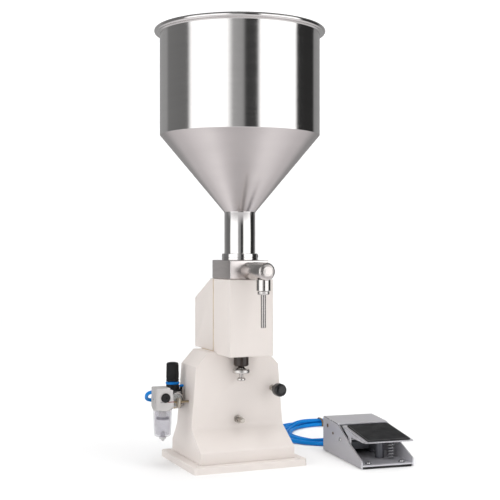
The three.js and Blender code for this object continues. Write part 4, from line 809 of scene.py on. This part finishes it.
arc_ = prism([(9.25 * math.cos(math.radians(225 - 270 * i / 60)), 9.25 * math.sin(math.radians(225 - 270 * i / 60))) for i in range(61)] + [(9.5 * math.cos(math.radians(-45 + 270 * i / 60)), 9.5 * math.sin(math.radians(-45 + 270 * i / 60))) for i in range(61)], "z", 20.3, 20.45)
for i, txt in enumerate(("0", "2", "4", "6", "8", "10")):
    a = math.radians(225 - 54 * i)
    cu = bpy.data.curves.new("n", "FONT")
    cu.body = txt
    cu.size = 2.5
    cu.extrude = 0.05
    cu.align_x, cu.align_y = "CENTER", "CENTER"
    ob = bpy.data.objects.new("n", cu)
    SCN.collection.objects.link(ob)
    bpy.context.view_layer.update()
    m = bpy.data.meshes.new_from_object(ob.evaluated_get(bpy.context.evaluated_depsgraph_get()))
    bpy.data.objects.remove(ob)
    marks.append(move(m, 5.6 * math.cos(a), 5.6 * math.sin(a), 20.4))
piece("gauge_marks", move(front(join(arc_, *marks)), GX, RY, GZ), "machine", "black_plastic", INK)
needle = union(rod(1.2, 21.0, 22.0, 32, 0.15), turn(prism([(-0.62, -2.6), (0.62, -2.6), (0.5, 0), (0.12, 7.8), (-0.12, 7.8), (-0.5, 0)], "z", 21.1, 21.5), math.degrees(2.35), "Z"))
piece("gauge_needle_detail", move(front(needle), GX, RY, GZ), "pointer", "black_plastic", INK, ("gauge_needle",))
piece("gauge_lens", move(front(lathe([[0, 23.1], [10.3, 23.1], [10.3, 23.5], [9.6, 23.8], [0, 24.0]], 72)), GX, RY, GZ), "machine", "clear_bowl", LENS, smooth=60)

# ------------------------------------------------------------------ rear fittings and link tube


def fitting():
    b = union(hexa(10, 0, 5, 1.9), lathe([[1.9, 4.8], [4.6, 4.8], [4.6, 12.2], [4.2, 12.6], [1.9, 12.6], [1.9, 4.8]], 40))
    r = lathe([[3.2, 12.4], [4.0, 12.4], [4.0, 13.6], [4.2, 14.0], [4.0, 14.4], [3.5, 14.4], [3.2, 14.1], [3.2, 12.4]], 40)
    return b, r


for nm, x in (("a", -22), ("b", 22)):
    b, r = fitting()
    piece(f"rear_fitting_{nm}_body", move(back(b), x, 51.6, 96), "machine", "black_plastic", PLASTIC, (f"rear_fitting_{nm}",))
    piece(f"rear_fitting_{nm}_collet", move(back(r), x, 51.6, 96), "machine", "black_plastic", BLUE, (f"rear_fitting_{nm}",))
P = [(-131.1, 9.1, 118), (-134.2, 9.15, 118), (-138.6, 12.4, 116.4), (-140.2, 17.6, 113.2), (-139.4, 23.8, 108.6), (-136.4, 29.2, 104.3), (-130.6, 32.6, 102.1), (-124.3, 33.5, 101.55), (-116.7, 33.6, 101.5)]
piece("link_tube_detail", tube_along(evenly(catmull(P, 10), 1.2), 2.9, 28), "machine", "blue_hose", HOSE, ("link_tube",), smooth=60)
me = join(move(left(lathe([[0, 77.4], [1.8, 77.4], [2.1, 77.7], [2.1, 83.6], [1.6, 84.2], [0, 84.2]], 32)), 0, 22, 124))
stub = rod(1.7, 118, 124.5, 24, 0.3)
piece("regulator_side_fitting", me, "machine", "blue_hose", BLUE, smooth=45)
piece("regulator_side_stub", move(stub, -81.6, 22.0), "machine", "black_plastic", PLASTIC, smooth=45)

# ------------------------------------------------------------------ foot valve


def pedpiece(name, me, body, slot, mat, nodes=(), **k):
    me.transform(PEDM)
    return piece(name, me, body, slot, mat, nodes, **k)


me = prism(ringed([(-42.4, -82, 3), (42.4, -82, 3), (42.4, 81, 3), (-42.4, 81, 3)], 5), "z", 0, 3.6)
me = bevel(me, 0.5, 2, 60, mat=1)
pedpiece("pedal_mat_detail", me, "machine", "black_rubber", None, ("pedal_mat",), mats=[RUBBER, RUBBER_EDGE])
ol = ringed([(82.5, 1.2), (82.5, 59, 2.5), (19, 55.8), (12.5, 53.9), (-35, 31.1, 8), (-81.4, 14, 1), (-82.2, 11), (-82.2, 1.2)], 8)
bod = bevel(prism(ol, "x", -45, 45), 0.8, 3, 60, sel=lambda e: all(v.co.z > 4.2 for v in e.verts), mat=1)
inside = prism([(90, 5.9), (90, 57.4), (82.5, 57), (19, 53.8), (-90, 53.8), (-90, 5.9)], "x", -43, 43)
open_ = box(-43, 43, -90, 18.6, 50, 70)
under = box(-43, 43, -90, 90, 0, 3.9)
me = cut(bod, inside, open_, under, move(left(rod(2.35, -60, 60)), 0, 5, 31.5))
rw = cut(box(-43.5, 43.5, 80.5, 82.5, 3.9, 57.6), *[move(back(rod(5.6, 70, 90)), x, 0, 24) for x in (-14, 14)])
me = union(me, rw)
# painted light: faces inside the housing take the lighter copy of the grey paint in slot 2
me = paint(me, 2, lambda c, n: (abs(c.x) < 43.3 and c.z < 57.3 and c.y < 82))
pedpiece("pedal_housing_detail", me, "machine", "pedal_grey", None, ("pedal_housing",), mats=[GREY_PAINT, GREY_EDGE, GREY_INSIDE_PAINTED_LIGHT], smooth=12)
me = left(union(rod(2.2, -46.6, 46.6), lathe([[0, -47.2], [2.6, -47.2], [3.8, -46.2], [3.8, -45.3], [0, -45.3]], 32), lathe([[0, 45.3], [3.8, 45.3], [3.8, 46.2], [2.6, 47.2], [0, 47.2]], 32)))
pedpiece("pedal_pin_detail", move(me, 0, 5, 31.5), "machine", "spring_steel", BRIGHT, ("pedal_pin",))
SL = 0.12


def zt(y): return 53.9 - (1.5 - y) * SL


top_ = bevel(prism([(6.5, zt(6.5)), (6.5, zt(6.5) - 1.8), (-88.3, zt(-88.3) - 1.8), (-88.3, zt(-88.3))], "x", -41.4, 41.4), 0.4, 2, 60, mat=1)
ch = ringed([(6.5, zt(6.5) - 0.2), (-22, 40.4, 2), (-20.5, 37, 2), (11.5, 36, 2), (11.5, 33, 2), (8, 26, 3), (-31, 26), (-31, 42), (-80, zt(-80) - 3), (-88.3, zt(-88.3) - 0.4)], 7)
chk = [bevel(prism(ch, "x", p, q), 0.25, 1, 60, mat=1) for p, q in ((-42.2, -40.4), (40.4, 42.2))]
me = cut(union(top_, *chk), move(left(rod(2.4, -60, 60)), 0, 5, 31.5))
pedpiece("treadle_detail", me, "treadle_arm", "pedal_grey", None, ("treadle",), mats=[GREY_PAINT, GREY_EDGE], smooth=30)


def pz(y): return zt(y) + 0.3


me = prism([(-3, pz(-3)), (-3, pz(-3) + 3), (-86.6, pz(-86.6) + 3), (-86.6, pz(-86.6))], "x", -36.2, 36.6)
me = bevel(me, 0.55, 3, 60, mat=1)
pedpiece("treadle_pad_detail", me, "treadle_arm", "black_rubber", None, ("treadle_pad",), mats=[RUBBER, RUBBER_EDGE])
ribs = []
for i in range(27):
    y = -83.6 + 3.0 * i
    ribs.append(prism([(y - 0.8, pz(y - 0.8) + 2.9), (y - 0.45, pz(y) + 3.32), (y + 0.45, pz(y) + 3.42), (y + 0.8, pz(y + 0.8) + 2.9)], "x", -34.6, 34.6))
pedpiece("treadle_pad_ribs", join(*ribs), "treadle_arm", "black_rubber", RUBBER, ())
z0, z1 = 7.0, zt(-45) - 3.4
pts = [(22 + (4.6 + 0.9 * i / 540) * math.cos(a), -45 + (4.6 + 0.9 * i / 540) * math.sin(a), z0 + (z1 - z0) * i / 540) for i in range(541) for a in [i / 540 * 16 * PI]]
me = tube_along(pts, 0.95, 10)
spring = pedpiece("treadle_spring_detail", me, "machine", "spring_steel", SPRING, ("treadle_spring",), smooth=60)
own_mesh(spring)
me = union(box(-28, 24, 2, 62, 15, 34), box(5, 13, -24.5, 3, 16, 28), box(-24, -18, 12, 50, 6.2, 16), box(12, 18, 12, 50, 6.2, 16))
me = bevel(me, 0.8, 2, 60, mat=1)
me = cut(union(me, move(ring(3.4, 7.5, 6.3, 30, 64, 0.5), 9, -30)), move(rod(3.4, 4, 40, 40), 9, -30), box(-40, 40, 0.4, 9.6, 27.4, 40))
pedpiece("pedal_valve_detail", me, "machine", "dark_alloy", None, ("pedal_valve",), mats=[DARK_ALLOY, DARK_EDGE], smooth=30)
me = bevel(box(-27, 27, 62.3, 68, 14, 33), 0.6, 2, 60, mat=1)
rings = []
for x in (-14, 14):
    me = union(me, move(back(union(hexa(9.4, 67.5, 73, 1.9), lathe([[1.9, 72.5], [4.6, 72.5], [4.6, 97.4], [4.2, 97.8], [1.9, 97.8], [1.9, 72.5]], 40))), x, 0, 24))
    rings.append(move(back(lathe([[3.2, 97.5], [4.0, 97.5], [4.0, 98.6], [4.2, 99.1], [4.0, 99.6], [3.5, 99.6], [3.2, 99.3], [3.2, 97.5]], 40)), x, 0, 24))
pedpiece("pedal_port_block_detail", me, "machine", "dark_alloy", None, ("pedal_port_block",), mats=[DARK_ALLOY, DARK_EDGE], smooth=30)
pedpiece("pedal_port_collets", join(*rings), "machine", "dark_alloy", BLUE, ("pedal_port_block",))
me = lathe([[0, 13], [2.8, 13], [3.1, 13.3], [3.1, 35.6], [4.6, 35.6], [4.6, 45.7], [3.6, 47.3, 1], [0, 47.9]], 48)
pedpiece("plunger_detail", move(me, 9, -30), "plunger_pin", "spring_steel", BRIGHT, ("plunger",))
for side, sx in (("left", -45.0), ("right", 45.0)):
    t = left if sx < 0 else (lambda m: turn(m, 90, "Y"))
    pedpiece(f"pedal_rivets_{side}", join(*[move(t(screw(r, 1.2, "rivet")), sx, y, z) for y, z, r in ((61.8, 45.6, 3.3), (37.6, 36.9, 2.4))]), "machine", "spring_steel", BRONZE)
pedpiece("pedal_floor_screws", join(*[move(screw(3.9, 2.4, "cross"), x, y, 6.9) for x, y in ((-28.5, -70.5), (29, -71))]), "machine", "zinc_steel", BRIGHT)
pedpiece("pedal_floor_washers", join(*[move(lathe([[2.0, 0], [5.2, 0], [5.2, 0.6], [4.9, 0.9], [2.0, 0.9], [2.0, 0]], 40), x, y, 5.95) for x, y in ((-28.5, -70.5), (29, -71))]), "machine", "dark_alloy", DARK_ALLOY)

# ------------------------------------------------------------------ materials of the CAD pieces that stay; the table is empty, so none is given a material here
KEEP = {}
for name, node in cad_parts.items():
    m = KEEP.get(name)
    if m is not None:
        node.data.materials.clear()
        node.data.materials.append(m)


# ------------------------------------------------------------------ floor and light
def smooth_world():
    w = bpy.data.worlds.new("studio")
    w.use_nodes = True
    nt = w.node_tree
    for n in list(nt.nodes):
        nt.nodes.remove(n)
    out = nt.nodes.new("ShaderNodeOutputWorld")
    bg = nt.nodes.new("ShaderNodeBackground")
    tc = nt.nodes.new("ShaderNodeTexCoord")
    sep = nt.nodes.new("ShaderNodeSeparateXYZ")
    nt.links.new(tc.outputs["Generated"], sep.inputs[0])
    at = nt.nodes.new("ShaderNodeMath")
    at.operation = "ARCTAN2"
    nt.links.new(sep.outputs["Y"], at.inputs[0])
    nt.links.new(sep.outputs["X"], at.inputs[1])
    mr = nt.nodes.new("ShaderNodeMapRange")
    mr.inputs["From Min"].default_value = -PI
    mr.inputs["From Max"].default_value = PI
    nt.links.new(at.outputs[0], mr.inputs["Value"])
    ramp = nt.nodes.new("ShaderNodeValToRGB")
    nt.links.new(mr.outputs["Result"], ramp.inputs["Fac"])
    # soft boxes and dark flags standing round the table: azimuth from +X in degrees, brightness
    toward = -112.8
    stops = []
    for rel, v in PANELS:
        az = (toward + rel + 180) % 360
        stops.append((az / 360, v))
    stops.sort()
    cr = ramp.color_ramp
    cr.interpolation = "LINEAR"
    while len(cr.elements) < len(stops) + 2:
        cr.elements.new(0.5)
    (p0, v0), (p1, v1) = stops[0], stops[-1]
    t = (1 - p1) / (1 - p1 + p0)
    edge = v1 + (v0 - v1) * t
    full = [(0.0, edge)] + stops + [(1.0, edge)]
    for e, (p, v) in zip(cr.elements, full):
        e.position = p
    for e, (p, v) in zip(cr.elements, full):
        e.color = (v, v, v, 1)
    # above the soft boxes an even ceiling, below the table line a pale floor
    up = nt.nodes.new("ShaderNodeMapRange")
    up.inputs["From Min"].default_value = 0.3
    up.inputs["From Max"].default_value = 0.75
    nt.links.new(sep.outputs["Z"], up.inputs["Value"])
    mix = nt.nodes.new("ShaderNodeMixRGB")
    nt.links.new(up.outputs["Result"], mix.inputs["Fac"])
    nt.links.new(ramp.outputs["Color"], mix.inputs["Color1"])
    mix.inputs["Color2"].default_value = (CEILING, CEILING, CEILING, 1)
    low = nt.nodes.new("ShaderNodeMapRange")
    low.inputs["From Min"].default_value = -0.3
    low.inputs["From Max"].default_value = -0.48
    nt.links.new(sep.outputs["Z"], low.inputs["Value"])
    mix2 = nt.nodes.new("ShaderNodeMixRGB")
    nt.links.new(low.outputs["Result"], mix2.inputs["Fac"])
    nt.links.new(mix.outputs["Color"], mix2.inputs["Color1"])
    dn = nt.nodes.new("ShaderNodeMapRange")
    dn.inputs["From Min"].default_value = -1.0
    dn.inputs["From Max"].default_value = 0.0
    nt.links.new(sep.outputs["Z"], dn.inputs["Value"])
    under = nt.nodes.new("ShaderNodeValToRGB")
    while len(under.color_ramp.elements) < len(UNDER):
        under.color_ramp.elements.new(0.5)
    for e, (z, v) in zip(under.color_ramp.elements, UNDER):
        e.position = z + 1
    for e, (z, v) in zip(under.color_ramp.elements, UNDER):
        e.color = (v, v * 0.975, v * 0.985, 1)
    nt.links.new(dn.outputs["Result"], under.inputs["Fac"])
    nt.links.new(under.outputs["Color"], mix2.inputs["Color2"])
    nt.links.new(mix2.outputs["Color"], bg.inputs["Color"])
    bg.inputs["Strength"].default_value = WORLD
    nt.links.new(bg.outputs["Background"], out.inputs["Surface"])
    SCN.world = w


# brightness round the room, by angle from the viewer's side (negative is to the left)
PANELS = [(-178, 0.36), (-128, 0.34), (-121, 0.2), (-78, 0.17), (-71, 1.5), (-18, 1.6), (-9, 0.42), (5, 0.36), (9, 0.05), (25, 0.05), (30, 1.6), (85, 1.6), (90, 0.03), (128, 0.03), (134, 0.3)]
CEILING = 0.16
UNDER = [(-1.0, 0.48), (-0.97, 0.57), (-0.89, 1.12), (-0.8, 1.0), (-0.6, 0.72), (-0.3, 0.68)]
WORLD = 1.0
smooth_world()


def area(name, loc, aim, size, power, spread=180):
    l = bpy.data.lights.new(name, "AREA")
    l.shape = "RECTANGLE"
    l.size, l.size_y = size
    l.energy = power
    l.spread = math.radians(spread)
    o = bpy.data.objects.new(name, l)
    SCN.collection.objects.link(o)
    o.location = loc
    o.rotation_euler = (Vector(aim) - Vector(loc)).to_track_quat("-Z", "Y").to_euler()
    return o


for o in (area("top_soft", (0.1, -0.3, 2.6), (0.1, 0.05, 0.2), (2.2, 2.2), 58),
          area("right_soft", (1.9, -0.9, 1.4), (0, 0, 0.3), (1.2, 1.6), 5),
          area("left_soft", (-2.3, -0.7, 1.3), (-0.05, 0, 0.25), (3.6, 2.8), 21)):
    o.visible_glossy = False

floor_mat = material("table_white", rgb(250, 250, 250), 0.62, spread=0.004, size=1.2, bump=0.01, grain=80, rough_spread=0.03, spec=0.25)
floor_mat.node_tree.nodes["Principled BSDF"].inputs["Emission Color"].default_value = (1, 1, 1, 1)
# the far part of the backdrop glows a little, as a lit paper roll does
ft = floor_mat.node_tree
fc = ft.nodes.new("ShaderNodeTexCoord")
fd = ft.nodes.new("ShaderNodeVectorMath")
fd.operation = "DOT_PRODUCT"
fd.inputs[1].default_value = (0.3873, 0.9220, 0)
ft.links.new(fc.outputs["Object"], fd.inputs[0])
fr = ft.nodes.new("ShaderNodeMapRange")
fr.inputs["From Min"].default_value = 0.5
fr.inputs["From Max"].default_value = 2.6
fr.inputs["To Min"].default_value = 0.0
fr.inputs["To Max"].default_value = 0.3
ft.links.new(fd.outputs["Value"], fr.inputs["Value"])
ft.links.new(fr.outputs["Result"], ft.nodes["Principled BSDF"].inputs["Emission Strength"])
bm = bmesh.new()
prof = [(-8.0, 0.0)] + [(3.0, 0.0)] + [(3.0 + 2.0 * math.sin(t), 2.0 - 2.0 * math.cos(t)) for t in [PI / 2 * k / 10 for k in range(1, 11)]] + [(5.0, 7.0)]
fwd = Vector((0.3873, 0.9220, 0)).normalized()
sd = Vector((fwd.y, -fwd.x, 0))
rows = [[bm.verts.new(fwd * u + sd * w + Vector((0, 0, v))) for w in (-30, 30)] for u, v in prof]
for a, b in zip(rows, rows[1:]):
    bm.faces.new((a[0], a[1], b[1], b[0]))
me = as_mesh(bm)
me.shade_smooth()
me.materials.append(floor_mat)
floor = bpy.data.objects.new("table", me)
SCN.collection.objects.link(floor)
floor.visible_glossy = False

SCN.view_settings.view_transform = "Standard"
SCN.view_settings.look = "None"
SCN.view_settings.exposure = 0.0

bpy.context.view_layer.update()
